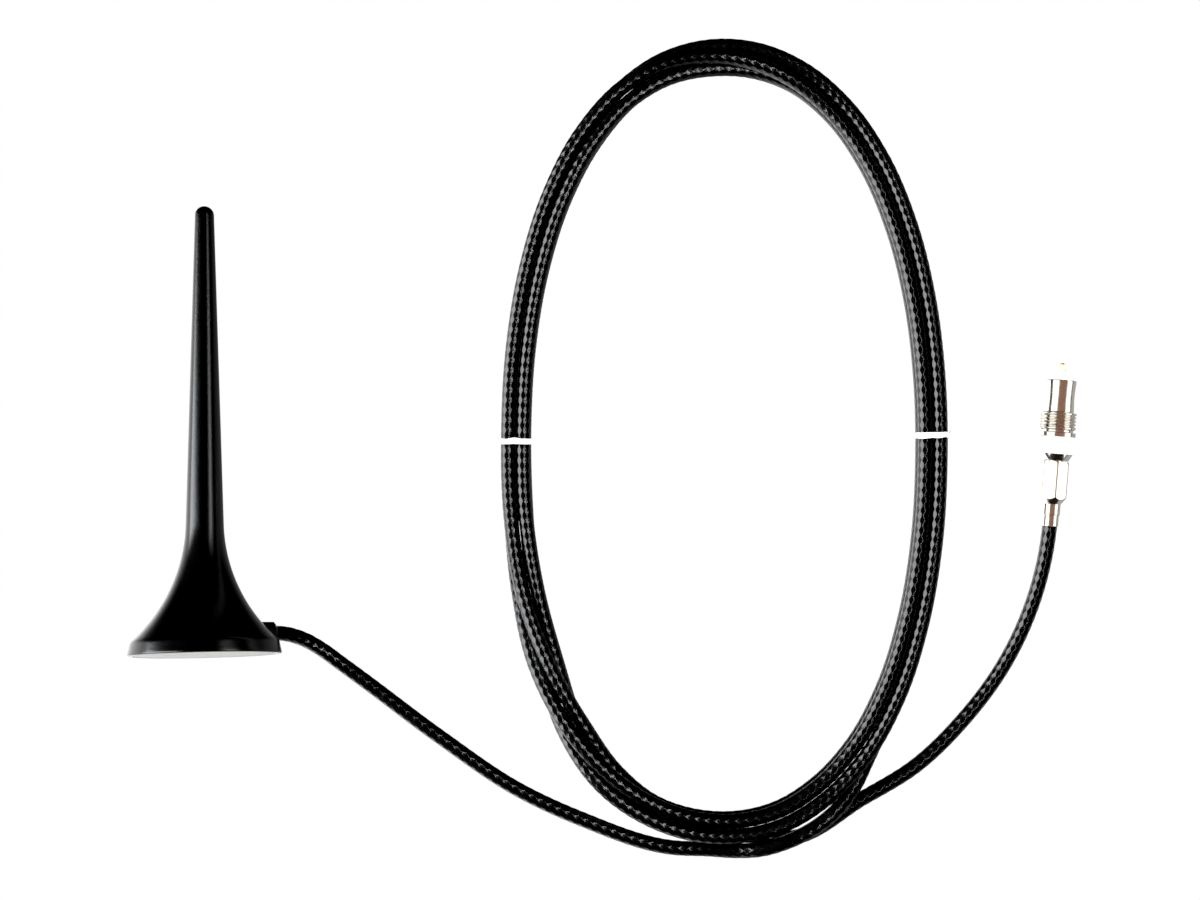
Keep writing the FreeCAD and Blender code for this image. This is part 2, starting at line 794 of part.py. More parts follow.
def tangent_arcs(points, tangents):
    """Two arcs per span, tangent to each other and to the directions at the points."""
    arcs = []
    spans = zip(points, tangents, points[1:], tangents[1:])
    for start, start_way, end, end_way in spans:
        span = end - start
        both = start_way + end_way
        turn = 2.0 * (1.0 - start_way.dot(end_way))
        if turn > 1e-9:
            along = span.dot(both)
            reach = (math.sqrt(along * along + turn * span.dot(span)) - along) / turn
        else:
            reach = span.dot(span) / (2.0 * span.dot(both))
        first_corner = start + start_way * reach
        second_corner = end - end_way * reach
        middle = (first_corner + second_corner) * 0.5
        arcs.append((start, start_way, middle))
        arcs.append((middle, unit(second_corner - first_corner), end))
    return arcs


def arc_turn(start, way, end):
    """Centre, axis and angle of the arc that leaves start along way and reaches end."""
    chord = end - start
    side = chord - way * chord.dot(way)
    if side.Length < 1e-7 * chord.Length:
        return None
    centre = start + side * (chord.dot(chord) / (2.0 * side.dot(side)))
    angle = 2.0 * math.degrees(math.atan2(side.Length, chord.dot(way)))
    return centre, unit(way.cross(side)), angle


def end_cap(rings):
    faces = [Part.Face(Part.Wire([ring])) for ring in rings]
    if len(faces) == 1:
        return faces[0]
    return faces[0].cut(faces[1]).Faces[0]


def tube_along(arcs, outer, bore=0.0):
    """Solid rod or hollow tube that follows a chain of tangent arcs."""
    start, way, _ = arcs[0]
    radii = [outer, bore] if bore else [outer]
    rings = [Part.Edge(Part.Circle(start, way, radius)) for radius in radii]
    faces = [end_cap(rings)]
    for start, way, end in arcs:
        turn = arc_turn(start, way, end)
        moved = []
        for ring in rings:
            copy = ring.copy()
            if turn is None:
                faces.append(ring.extrude(end - start))
                copy.translate(end - start)
            else:
                faces.append(ring.revolve(*turn))
                copy.rotate(*turn)
            moved.append(copy)
        rings = moved
    faces.append(end_cap(rings))
    shell = Part.Shell(faces)
    shell.sewShape()
    solid = Part.Solid(shell)
    if solid.Volume < 0:
        solid.reverse()
    return solid


def shape_part(label, shape, placement=FreeCAD.Placement()):
    """A sub-part whose shape is computed here from the sheet's sizes."""
    feature = document.addObject("Part::Feature", label)
    feature.Label = label
    feature.Shape = shape
    feature.Placement = placement
    return keep(feature)


CABLE_LAYERS = (("jacket", "cable_radius", "jacket_bore"),
                ("braid", "braid_radius", "braid_bore"),
                ("dielectric", "dielectric_radius", "dielectric_bore"),
                ("conductor", "conductor_radius", None))


def make_cable(prefix, arcs):
    """Four nested layers of the coax along one path."""
    for layer, outer, bore in CABLE_LAYERS:
        inner = number(dim(bore)) if bore else 0.0
        shape_part("%s_%s" % (prefix, layer), tube_along(arcs, number(dim(outer)), inner))


# ---------------------------------------------------------------- coil of the lead

def smooth_step(value, low, high):
    share = min(1.0, max(0.0, (value - low) / (high - low)))
    return share * share * (3.0 - 2.0 * share)


def coil_line(angle):
    """Point of the coil's middle line at a polar angle in radians; a slightly squared oval."""
    power = number(dim("coil_squareness"))
    across = abs(math.cos(angle)) / number(dim("coil_half_width"))
    along = abs(math.sin(angle)) / number(dim("coil_half_length"))
    radius = (across ** power + along ** power) ** (-1.0 / power)
    return Vector(number(dim("coil_x")) + radius * math.cos(angle),
                  number(dim("coil_y")) + radius * math.sin(angle), 0)


def coil_outward(angle):
    step = 1e-4
    along = coil_line(angle + step) - coil_line(angle - step)
    return unit(Vector(along.y, -along.x, 0))


def polar_angle(turn_angle):
    """Polar angle, in radians, for even steps along the oval; whole turns stay whole."""
    even = math.radians(turn_angle)
    polar = math.atan2(number(dim("coil_half_length")) * math.sin(even),
                       number(dim("coil_half_width")) * math.cos(even))
    return polar + 2.0 * math.pi * round((even - polar) / (2.0 * math.pi))


def strand_corner(turn_angle):
    """Which corner of the four-strand bundle a strand holds, as an angle round the bundle.

    A strand moves on by one corner each turn: the bundle twists back a quarter across the top of
    the oval and forward a half across its lower left."""
    turns, within = divmod(turn_angle, FULL_TURN)
    quarter_back = 90.0 * smooth_step(within, 60.0, 130.0)
    half_forward = 180.0 * smooth_step(within, 190.0, 250.0)
    return math.radians(-135.0 + 90.0 * turns - quarter_back + half_forward)


def tuck(turn_angle):
    """The bundle is drawn in a little at the bottom of the oval, where the lead crosses it."""
    within = turn_angle % FULL_TURN
    near = smooth_step(within, 235.0, 262.0) * (1.0 - smooth_step(within, 290.0, 320.0))
    return number(dim("coil_tuck")) * near


def beside_coil(turn_angle, outward, height):
    """Point at a distance outside the coil's line and a height above the table."""
    angle = polar_angle(turn_angle)
    point = coil_line(angle) + coil_outward(angle) * (outward - tuck(turn_angle))
    point.z = TABLE_Z + height
    return point


def strand_point(turn_angle):
    """Point of a strand that lies in its corner of the bundle, resting on the table.

    Between two corners, where the bundle twists, the strands stand a little further apart."""
    corner = strand_corner(turn_angle)
    between = math.cos(2.0 * corner) ** 2
    reach = number(dim("strand_pitch")) / math.sqrt(2.0) * (1.0 + number(dim("twist_spread")) * between)
    middle = CABLE_RADIUS + reach * max(abs(math.cos(corner)), abs(math.sin(corner)))
    return beside_coil(turn_angle, reach * math.cos(corner), middle + reach * math.sin(corner))


def on_table(bends):
    return [Vector(x, y, TABLE_Z + height) for x, y, height in bends]


def antenna_way():
    return ANTENNA.Rotation.multVec(Vector(1, 0, 0))


def gland_axis_point(x):
    return ANTENNA.multVec(Vector(x, 0, number(dim("gland_height"))))


def coil_points():
    """From just outside the gland, round the coil, to the point where the lead can swing."""
    points = [gland_axis_point(number(dim("gland_end")) + number(dim("mouth_gap")))]
    points += on_table(TAIL_BENDS)
    points += [beside_coil(*place) for place in JOINING]
    regular_end = REGULAR_END + FULL_TURN * number(dim("turns"))
    steps = round((regular_end - REGULAR_START) / TURN_STEP)
    step = (regular_end - REGULAR_START) / steps
    points += [strand_point(REGULAR_START + step * count) for count in range(steps + 1)]
    points += [beside_coil(*place) for place in LEAVING]
    return points


def lead_points():
    return on_table([LEAD_PIVOT] + LEAD_BENDS) + [PLUG.Base]


def shortened(first, second, gap):
    """Point on the way from first to second, a gap away from first."""
    return first + unit(second - first) * gap


def make_coil_cable():
    points = coil_points()
    pivot = on_table([LEAD_PIVOT])[0]
    onward = unit(lead_points()[1] - points[-1])
    points.append(pivot - onward * number(dim("bend_gap")))
    tangents = point_tangents(points, antenna_way(), onward)
    make_cable("coil", tangent_arcs(points, tangents))


def make_lead_cable():
    """The stretch between the coil and the plug, with a small gap at each end to bend in."""
    points = lead_points()
    onward = unit(points[1] - coil_points()[-1])
    plug_way = PLUG.Rotation.multVec(Vector(0, 0, 1))
    gap = number(dim("bend_gap"))
    points[0] = points[0] + onward * gap
    points[-1] = points[-1] - plug_way * gap
    make_cable("lead", tangent_arcs(points, point_tangents(points, onward, plug_way)))


# ---------------------------------------------------------------- lead inside the antenna

def make_feed_cable():
    """The lead's end inside the foot, stripped in steps; its core turns up into the board."""
    height = number(dim("gland_height"))
    outer_end = number(dim("feed_end"))
    for layer, outer, bore in CABLE_LAYERS[:3]:
        stop = number(dim("feed_%s_stop" % layer))
        arcs = [(Vector(outer_end, 0, height), Vector(-1, 0, 0), Vector(stop, 0, height))]
        tube = tube_along(arcs, number(dim(outer)), number(dim(bore)))
        shape_part("feed_%s" % layer, tube, ANTENNA)
    bend = number(dim("feed_bend"))
    hole = number(dim("feed_hole_x"))
    top = number(dim("feed_wire_top"))
    arcs = [(Vector(outer_end, 0, height), Vector(-1, 0, 0), Vector(hole + bend, 0, height)),
            (Vector(hole + bend, 0, height), Vector(-1, 0, 0), Vector(hole, 0, height + bend)),
            (Vector(hole, 0, height + bend), Vector(0, 0, 1), Vector(hole, 0, top))]
    shape_part("feed_conductor", tube_along(arcs, number(dim("conductor_radius"))), ANTENNA)


# ---------------------------------------------------------------- twist ties

def tie_frame(turn_angle):
    """Placement of a tie: its X points out of the coil, its Z along the strands."""
    angle = polar_angle(turn_angle)
    outward = coil_outward(angle)
    up = Vector(0, 0, 1)
    middle = coil_line(angle)
    middle.z = TABLE_Z + CABLE_RADIUS + number(dim("strand_pitch")) * 0.5
    return FreeCAD.Placement(middle, FreeCAD.Rotation(outward, up, outward.cross(up), "XYZ"))


def tie_loop(grow):
    """Rounded square wire that hugs the four strands, grown outwards."""
    half = number(dim("strand_pitch")) * 0.5 + CABLE_RADIUS + number(dim("tie_clearance")) + grow
    corner = number(dim("tie_corner")) + grow
    flat = half - corner
    edges = []
    for quarter in range(4):
        spin = FreeCAD.Rotation(Vector(0, 0, 1), 90.0 * quarter)
        start = spin.multVec(Vector(half, -flat, 0))
        end = spin.multVec(Vector(half, flat, 0))
        centre = spin.multVec(Vector(flat, flat, 0))
        bend_middle = centre + spin.multVec(Vector(corner, corner, 0)) * (1.0 / math.sqrt(2.0))
        bend_end = spin.multVec(Vector(flat, half, 0))
        edges.append(Part.LineSegment(start, end).toShape())
        edges.append(Part.Arc(end, bend_middle, bend_end).toShape())
    return Part.Wire(edges)


def make_tie(name, turn_angle):
    """Flat strip round the strands with a hidden wire core and a short twisted end."""
    place = tie_frame(turn_angle)
    thickness = number(dim("tie_thickness"))
    half_width = number(dim("tie_half_width"))
    band = Part.Face(tie_loop(thickness)).cut(Part.Face(tie_loop(0.0)))
    strip = band.extrude(Vector(0, 0, 2.0 * half_width))
    strip.translate(Vector(0, 0, -half_width))
    core = number(dim("tie_core"))
    ring = tie_loop(thickness * 0.5)
    start = ring.Edges[0].valueAt(ring.Edges[0].FirstParameter)
    along = ring.Edges[0].tangentAt(ring.Edges[0].FirstParameter)
    section = Part.Wire([Part.Edge(Part.Circle(start, along, core))])
    wire = ring.makePipeShell([section], True, True)
    edge = number(dim("strand_pitch")) * 0.5 + CABLE_RADIUS + thickness
    length = number(dim("pigtail_length"))
    pigtail = Part.makeCylinder(half_width, length, Vector(edge, 0, 0), Vector(1, 0, 0))
    strip = strip.fuse(pigtail).removeSplitter().cut(wire)
    shape_part(name, strip, place)
    shape_part(name + "_wire", wire, place)


# ---------------------------------------------------------------- plug

def make_plug_shell():
    """Nickel-plated body: crimp post, neck, collar seat, shoulder, thread and nose."""
    seat = dim("collar_seat")
    seat_start = dim("collar_start") - dim("stack_gap")
    seat_end = dim("collar_end") + dim("stack_gap")
    nose = dim("nose_radius")
    nose_end = dim("nose_end")
    bevel = dim("nose_bevel")
    outline = [
        (dim("post_bore"), dim("post_start")),
        (dim("post_radius"), dim("post_start")),
        (dim("post_radius"), dim("neck_start")),
        (dim("neck_radius"), dim("neck_start")),
        (dim("neck_flare"), seat_start),
        (seat, seat_start),
        (seat, seat_end),
        (dim("shoulder_radius"), seat_end),
        (dim("shoulder_radius"), dim("shoulder_end")),
        (dim("undercut_radius"), dim("shoulder_end")),
        (dim("undercut_radius"), dim("undercut_end")),
        (dim("thread_radius"), dim("thread_start")),
        (dim("thread_radius"), dim("thread_end")),
        (nose, dim("nose_root")),
        (nose, nose_end - bevel),
        (nose - bevel, nose_end),
        (dim("nose_bore"), nose_end),
        (dim("nose_bore"), dim("nose_bore_start")),
        (dim("post_bore"), dim("nose_bore_cone")),
    ]
    body = turned_part("plug_shell", PLUG, outline)
    cut_thread(body)


def cut_thread(body):
    """Helical groove of the M8 x 0.75 thread, left with a narrow flat on each crest."""
    sketch = new_sketch(body, "XZ_Plane", "thread_groove")
    mouth = dim("thread_radius") + dim("groove_rise")
    root = dim("thread_radius") - dim("thread_depth")
    middle = dim("groove_start")
    outline = [(mouth, middle - dim("groove_half_mouth")), (mouth, middle + dim("groove_half_mouth")),
               (root, middle + dim("groove_half_root")), (root, middle - dim("groove_half_root"))]
    draw_outline(sketch, outline)
    document.recompute()
    before = body.Shape.Volume
    groove = body.newObject("PartDesign::SubtractiveHelix", "thread")
    groove.Profile = sketch
    groove.ReferenceAxis = (sketch, ["V_Axis"])
    groove.Mode = "pitch-height-angle"
    groove.setExpression("Pitch", "dims.thread_pitch")
    groove.setExpression("Height", "dims.groove_end - dims.groove_start")
    document.recompute()
    if not body.Shape.Volume < before:
        raise RuntimeError("the thread groove cuts nothing")


def make_collar_ring():
    bevel = dim("collar_bevel")
    low = dim("collar_start")
    high = dim("collar_end")
    outer = dim("collar_radius")
    turned_part("collar_ring", PLUG, [
        (dim("collar_bore"), low), (outer - bevel, low), (outer, low + bevel),
        (outer, high - bevel), (outer - bevel, high), (dim("collar_bore"), high)])


def make_plug_insulator():
    turned_part("plug_insulator", PLUG, ring_outline(
        dim("contact_radius") + dim("fit_gap"), dim("insulator_radius"),
        dim("insulator_start"), dim("insulator_end")))


def make_centre_contact():
    """Gold-plated pin with a solder cup at its cable end and a rounded tip."""
    radius = dim("contact_radius")
    turned_part("centre_contact", PLUG, [
        (dim("contact_cup"), dim("contact_start")), (radius, dim("contact_start")),
        (radius, dim("contact_end") - dim("contact_tip")), (radius * 0.5, dim("contact_end")),
        (ZERO, dim("contact_end")), (ZERO, dim("contact_cup_end")),
        (dim("contact_cup"), dim("contact_cup_end"))])


def make_crimp_ferrule():
    """Six-sided crimp over the braid, stepping down to a round tail on the jacket."""
    body = new_body("crimp_ferrule", PLUG)
    sketch = new_sketch(body, "XY_Plane", "ferrule_hexagon", dim("ferrule_start"))
    corner = dim("ferrule_flat") * (1.0 / math.cos(math.radians(30.0)))
    draw_outline(sketch, [around(corner, 60.0 * side) for side in range(6)])
    pad(body, sketch, dim("ferrule_end") - dim("ferrule_start"))
    entry_radius = dim("gland_bore")
    revolve(body, [
        (entry_radius, ZERO),
        (dim("tail_radius"), ZERO),
        (dim("tail_radius"), dim("tail_step")),
        (dim("tail_step_radius"), dim("tail_step")),
        (dim("tail_step_radius"), dim("tail_end")),
        (dim("ferrule_cone_radius"), dim("ferrule_cone_end")),
        (entry_radius, dim("ferrule_cone_end"))])
    bore = new_sketch(body, "XY_Plane", "ferrule_bore", dim("ferrule_bore_start"))
    draw_circle(bore, ZERO, ZERO, dim("ferrule_bore"))
    pocket(body, bore, dim("ferrule_end"))
    entry = new_sketch(body, "XY_Plane", "ferrule_entry", -dim("cut_margin"))
    draw_circle(entry, ZERO, ZERO, entry_radius)
    pocket(body, entry, dim("ferrule_end"))


def make_plug_cable():
    """The cable's end inside the plug: jacket under the tail, braid over the post."""
    turned_part("plug_jacket", PLUG, ring_outline(
        dim("jacket_bore"), dim("cable_radius"), ZERO, dim("ferrule_start")))
    turned_part("plug_braid", PLUG, [
        (dim("braid_bore"), ZERO),
        (dim("braid_radius"), ZERO),
        (dim("braid_radius"), dim("braid_flare_start")),
        (dim("crimped_braid_radius"), dim("braid_flare_end")),
        (dim("crimped_braid_radius"), dim("crimped_braid_end")),
        (dim("crimped_braid_bore"), dim("crimped_braid_end")),
        (dim("crimped_braid_bore"), dim("braid_bore_flare_end")),
        (dim("braid_bore"), dim("braid_flare_start"))])
    turned_part("plug_dielectric", PLUG, ring_outline(
        dim("dielectric_bore"), dim("dielectric_radius"), ZERO, dim("dielectric_end")))
    turned_part("plug_conductor", PLUG, ring_outline(
        ZERO, dim("conductor_radius"), ZERO, dim("conductor_end")))


# ---------------------------------------------------------------- build, check and write

def build():
    make_radome_shell()
    make_cable_gland()
    make_foot_pad()
    make_magnet_disc()
    make_magnet_yoke()
    make_base_screws()
    make_board_standoffs()
    make_matching_board()
    make_board_components()
    make_board_screws()
    make_mast_stud()
    make_coil_former()
    make_radiator_helix()
    make_radiator_rod()
    make_rod_spacer()
    make_shield_saddle()
    make_saddle_screws()
    make_feed_cable()
    make_coil_cable()
    make_tie("tie_left", number(dim("tie_left_angle")))
    make_tie("tie_right", number(dim("tie_right_angle")))
    make_lead_cable()
    make_plug_shell()
    make_collar_ring()
    make_plug_insulator()
    make_centre_contact()
    make_crimp_ferrule()
    make_plug_cable()


def check_and_write():
    document.recompute()
    for item in document.Objects:
        if "Invalid" in item.State or "Error" in item.State:
            raise RuntimeError("%s failed: %s" % (item.Name, item.State))
    os.makedirs("parts", exist_ok=True)
    for part in parts:
        shape = part.Shape
        if shape.isNull() or not shape.isValid() or not shape.Solids:
            raise RuntimeError("%s has no valid solid" % part.Label)
        shape.exportStep("parts/%s.step" % part.Label)
        print(part.Label, len(shape.Solids), round(shape.Volume, 2))


build()
check_and_write()
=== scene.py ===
import json
import math
import random

import bmesh
import bpy
from mathutils import Matrix, Quaternion, Vector


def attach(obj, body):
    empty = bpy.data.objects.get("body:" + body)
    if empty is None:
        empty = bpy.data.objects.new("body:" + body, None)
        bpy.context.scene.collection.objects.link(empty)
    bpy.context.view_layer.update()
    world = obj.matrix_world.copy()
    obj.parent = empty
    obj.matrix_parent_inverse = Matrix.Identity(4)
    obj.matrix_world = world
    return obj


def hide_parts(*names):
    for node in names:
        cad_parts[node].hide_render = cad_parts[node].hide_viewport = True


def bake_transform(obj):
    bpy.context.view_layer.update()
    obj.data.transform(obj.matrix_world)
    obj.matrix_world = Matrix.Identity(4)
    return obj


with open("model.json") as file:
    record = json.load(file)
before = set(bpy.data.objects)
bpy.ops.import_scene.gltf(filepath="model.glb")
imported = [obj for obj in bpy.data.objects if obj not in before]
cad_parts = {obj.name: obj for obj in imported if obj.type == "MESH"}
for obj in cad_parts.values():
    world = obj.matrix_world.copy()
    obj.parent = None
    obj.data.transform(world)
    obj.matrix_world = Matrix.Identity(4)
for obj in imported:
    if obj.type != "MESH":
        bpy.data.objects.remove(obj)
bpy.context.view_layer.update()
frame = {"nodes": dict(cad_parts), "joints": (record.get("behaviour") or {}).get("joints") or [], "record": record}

# The visible model of a magnet-foot whip antenna with its coiled coax lead and radio plug.
# Lengths named here are millimetres; MM turns them into Blender's metres.

MM = 0.001
FULL = 2.0 * math.pi


# ---------------------------------------------------------------- places taken from the frame

def mount(name):
    return next(item for item in frame["record"]["mounts"] if item["name"] == name)


def joint(name):
    return next(item for item in frame["joints"] if item["name"] == name)


def in_mm(place):
    return Vector(place) / MM


FOOT = in_mm(mount("magnet_foot")["pos_m"])
MAST_WAY = -Vector(mount("magnet_foot")["axis"]).normalized()
HINGE_WAY = Vector(joint("antenna_stand_up")["axis"]).normalized()
PLUG_BASE = in_mm(joint("plug_bend")["pos_m"])
PLUG_WAY = Vector(mount("plug_nose")["axis"]).normalized()
LEAD_PIVOT = in_mm(joint("lead_swing")["pos_m"])
TABLE_Z = in_mm(joint("antenna_stand_up")["pos_m"]).z
GLAND_ROLL = math.radians(32.0)


def axes_matrix(origin, x_way, z_way):
    """Matrix of a local frame from its origin, its X direction and its Z direction."""
    y_way = z_way.cross(x_way)
    columns = Matrix((x_way, y_way, z_way)).transposed().to_4x4()
    return Matrix.Translation(origin) @ columns


def antenna_matrix():
    """The antenna's own frame: axis on Z, foot at 0, cable leaving along X."""
    down = MAST_WAY.cross(HINGE_WAY)
    x_way = HINGE_WAY * math.cos(GLAND_ROLL) + down * math.sin(GLAND_ROLL)
    return axes_matrix(FOOT, x_way, MAST_WAY)


def plug_matrix():
    """The plug's own frame: axis on Z, starting where the cable enters, X pointing up."""
    return axes_matrix(PLUG_BASE, Vector((0, 0, 1)), PLUG_WAY)


ANTENNA = antenna_matrix()
PLUG = plug_matrix()


# ---------------------------------------------------------------- node material helpers

class Nodes:
    """Small helper that builds one material's node tree."""

    def __init__(self, name):
        self.material = bpy.data.materials.new(name)
        self.material.use_nodes = True
        self.tree = self.material.node_tree
        self.shader = self.tree.nodes["Principled BSDF"]
        self.place = self.add("ShaderNodeTexCoord").outputs["Object"]

    def add(self, kind, **settings):
        node = self.tree.nodes.new(kind)
        for key, value in settings.items():
            setattr(node, key, value)
        return node

    def link(self, source, target):
        self.tree.links.new(source, target)

    def set(self, **values):
        for key, value in values.items():
            self.shader.inputs[key.replace("_", " ")].default_value = value

    def noise(self, scale, detail=4.0, roughness=0.55, vector=None):
        node = self.add("ShaderNodeTexNoise")
        node.inputs["Scale"].default_value = scale
        node.inputs["Detail"].default_value = detail
        node.inputs["Roughness"].default_value = roughness
        self.link(vector or self.place, node.inputs["Vector"])
        return node.outputs["Fac"]

    def stretched(self, x, y, z, vector=None):
        node = self.add("ShaderNodeMapping")
        node.inputs["Scale"].default_value = (x, y, z)
        self.link(vector or self.place, node.inputs["Vector"])
        return node.outputs["Vector"]

    def ramp(self, factor, *stops):
        """Colour ramp; each stop is (position, colour)."""
        node = self.add("ShaderNodeValToRGB")
        elements = node.color_ramp.elements
        while len(elements) < len(stops):
            elements.new(0.5)
        for element, (position, colour) in zip(elements, stops):
            element.position = position
            element.color = (*colour, 1.0) if len(colour) == 3 else colour
        self.link(factor, node.inputs["Fac"])
        return node.outputs["Color"]

    def span(self, factor, low, high, from_low=0.3, from_high=0.7):
        """Maps a noise value to a range."""
        node = self.add("ShaderNodeMapRange")
        node.inputs["From Min"].default_value = from_low
        node.inputs["From Max"].default_value = from_high
        node.inputs["To Min"].default_value = low
        node.inputs["To Max"].default_value = high
        self.link(factor, node.inputs["Value"])
        return node.outputs["Result"]

    def math(self, operation, first, second):
        node = self.add("ShaderNodeMath", operation=operation)
        for index, value in enumerate((first, second)):
            if isinstance(value, (int, float)):
                node.inputs[index].default_value = value
            else:
                self.link(value, node.inputs[index])
        return node.outputs[0]

    def mix(self, factor, first, second):
        node = self.add("ShaderNodeMix", data_type="RGBA")
        for socket, value in ((node.inputs[0], factor), (node.inputs[6], first), (node.inputs[7], second)):
            if isinstance(value, (int, float)):
                socket.default_value = value
            elif isinstance(value, tuple):
                socket.default_value = (*value, 1.0)
            else:
                self.link(value, socket)
        return node.outputs[2]

    def bump(self, height, strength, distance, normal=None):
        node = self.add("ShaderNodeBump")
        node.inputs["Strength"].default_value = strength
        node.inputs["Distance"].default_value = distance
        self.link(height, node.inputs["Height"])
        if normal is not None:
            self.link(normal, node.inputs["Normal"])
        return node.outputs["Normal"]

    def finish(self, colour=None, roughness=None, normal=None, metallic=None):
        for key, value in (("Base Color", colour), ("Roughness", roughness),
                           ("Normal", normal), ("Metallic", metallic)):
            if value is None:
                continue
            if isinstance(value, (int, float)):
                self.shader.inputs[key].default_value = value
            elif isinstance(value, tuple):
                self.shader.inputs[key].default_value = (*value, 1.0)
            else:
                self.link(value, self.shader.inputs[key])
        return self.material


def satin_black():
    """Moulded black plastic: fine spark texture, faint flow marks and a soft sheen."""
    n = Nodes("satin_black_plastic")
    grain = n.noise(3600.0, 2.0)
    flow = n.noise(60.0, 3.0, vector=n.stretched(1.0, 0.25, 1.0))
    handling = n.noise(230.0, 5.0, 0.7)
    rough = n.math("ADD", n.span(flow, 0.15, 0.19), n.span(handling, -0.015, 0.02))
    tone = n.mix(n.span(handling, 0.0, 1.0), (0.0004, 0.0004, 0.0006), (0.0010, 0.0010, 0.0014))
    normal = n.bump(grain, 0.55, 0.00005, n.bump(handling, 0.05, 0.0001))
    n.set(Specular_IOR_Level=0.5)
    return n.finish(tone, rough, normal)


def gland_black():
    n = Nodes("gland_plastic")
    grain = n.noise(7000.0, 3.0)
    patch = n.noise(400.0, 4.0)
    tone = n.mix(n.span(patch, 0.0, 1.0), (0.0016, 0.0016, 0.0020), (0.0040, 0.0040, 0.0044))
    return n.finish(tone, n.span(patch, 0.26, 0.42), n.bump(grain, 0.25, 0.00005))


def cable_black():
    """Glossy jacket: the braid underneath shows as two crossing sets of ridges."""
    n = Nodes("cable_jacket")
    place = n.add("ShaderNodeSeparateXYZ")
    n.link(n.add("ShaderNodeUVMap", uv_map="weave").outputs["UV"], place.inputs["Vector"])
    along, around = place.outputs["X"], place.outputs["Y"]
    ridges = []
    for operation in ("ADD", "SUBTRACT"):
        wave = n.math("COSINE", n.math("MULTIPLY", n.math(operation, along, around), FULL), 0.0)
        ridges.append(n.math("POWER", n.math("MAXIMUM", wave, 0.0), 1.6))
    grain = n.noise(5200.0, 3.0)
    smear = n.noise(320.0, 4.0, 0.65)
    tone = n.mix(n.span(smear, 0.0, 1.0), (0.0012, 0.0012, 0.0015), (0.0022, 0.0022, 0.0027))
    rough = n.span(smear, 0.13, 0.19)
    n.set(Specular_IOR_Level=0.55)
    weave = n.bump(n.math("MAXIMUM", ridges[0], ridges[1]), 0.6, 0.00004)
    return n.finish(tone, rough, n.bump(grain, 0.14, 0.00005, weave))


def nickel():
    """Turned and plated: fine rings round the plug's axis and small handling marks."""
    n = Nodes("nickel")
    turning = n.noise(5200.0, 2.0, vector=n.stretched(0.02, 0.02, 1.0))
    marks = n.noise(900.0, 5.0, 0.7)
    tone = n.mix(n.span(marks, 0.0, 1.0), (0.66, 0.62, 0.56), (0.78, 0.75, 0.70))
    rough = n.span(marks, 0.10, 0.22)
    normal = n.bump(turning, 0.10, 0.00003, n.bump(marks, 0.04, 0.00005))
    return n.finish(tone, rough, normal, 1.0)


def gold():
    n = Nodes("gold")
    marks = n.noise(1400.0, 4.0, 0.6)
    tone = n.mix(n.span(marks, 0.0, 1.0), (0.83, 0.61, 0.27), (0.95, 0.77, 0.42))
    return n.finish(tone, n.span(marks, 0.12, 0.26), n.bump(marks, 0.06, 0.00003), 1.0)


def white_plastic(name, low, high, rough_low, rough_high, translucent=0.05):
    n = Nodes(name)
    cloud = n.noise(500.0, 4.0)
    grain = n.noise(6500.0, 2.0)
    n.set(Subsurface_Weight=translucent, Subsurface_Radius=(0.0008, 0.0007, 0.0006))
    return n.finish(n.mix(n.span(cloud, 0.0, 1.0), low, high),
                    n.span(cloud, rough_low, rough_high), n.bump(grain, 0.2, 0.00004))


def tie_white():
    """Paper-backed strip: matt, slightly fibrous, with painted shade: grey patches at random places stand in for
    shade in its creases.
    """
    n = Nodes("white_tie")
    fibre = n.noise(2600.0, 5.0, 0.7, vector=n.stretched(1.0, 1.0, 0.35))
    # painted shade: this noise greys the white strip in patches, standing in for shade in its creases
    painted_crease_shade = n.noise(700.0, 3.0)
    tone = n.mix(n.span(painted_crease_shade, 0.0, 1.0), (0.76, 0.76, 0.75), (0.92, 0.92, 0.91))
    return n.finish(tone, n.span(fibre, 0.45, 0.62), n.bump(fibre, 0.35, 0.00006))


def pad_grey():
    """Soft pale pad under the foot: fine leathery grain with a few rubbed patches."""
    n = Nodes("pad_rubber")
    cell = n.add("ShaderNodeTexVoronoi", feature="DISTANCE_TO_EDGE")
    cell.inputs["Scale"].default_value = 1500.0
    n.link(n.place, cell.inputs["Vector"])
    rub = n.noise(160.0, 4.0, 0.6)
    tone = n.mix(n.span(rub, 0.0, 1.0), (0.70, 0.70, 0.68), (0.84, 0.84, 0.82))
    return n.finish(tone, n.span(rub, 0.5, 0.68), n.bump(cell.outputs["Distance"], 0.3, 0.00012))


def plain_metal(name, low, high, rough_low, rough_high):
    n = Nodes(name)
    marks = n.noise(1100.0, 5.0, 0.65)
    drawn = n.noise(3800.0, 2.0, vector=n.stretched(1.0, 0.05, 1.0))
    return n.finish(n.mix(n.span(marks, 0.0, 1.0), low, high), n.span(marks, rough_low, rough_high),
                    n.bump(drawn, 0.12, 0.00003), 1.0)


def braid_metal():
    """Tinned braid: two families of fine strands crossing each other."""
    n = Nodes("tinned_braid")
    weave = n.add("ShaderNodeTexWave", bands_direction="DIAGONAL")
    weave.inputs["Scale"].default_value = 900.0
    weave.inputs["Distortion"].default_value = 1.5
    n.link(n.place, weave.inputs["Vector"])
    marks = n.noise(1200.0, 4.0)
    tone = n.mix(n.span(marks, 0.0, 1.0), (0.50, 0.50, 0.48), (0.74, 0.74, 0.72))
    return n.finish(tone, n.span(marks, 0.25, 0.42), n.bump(weave.outputs["Fac"], 0.6, 0.00008), 1.0)


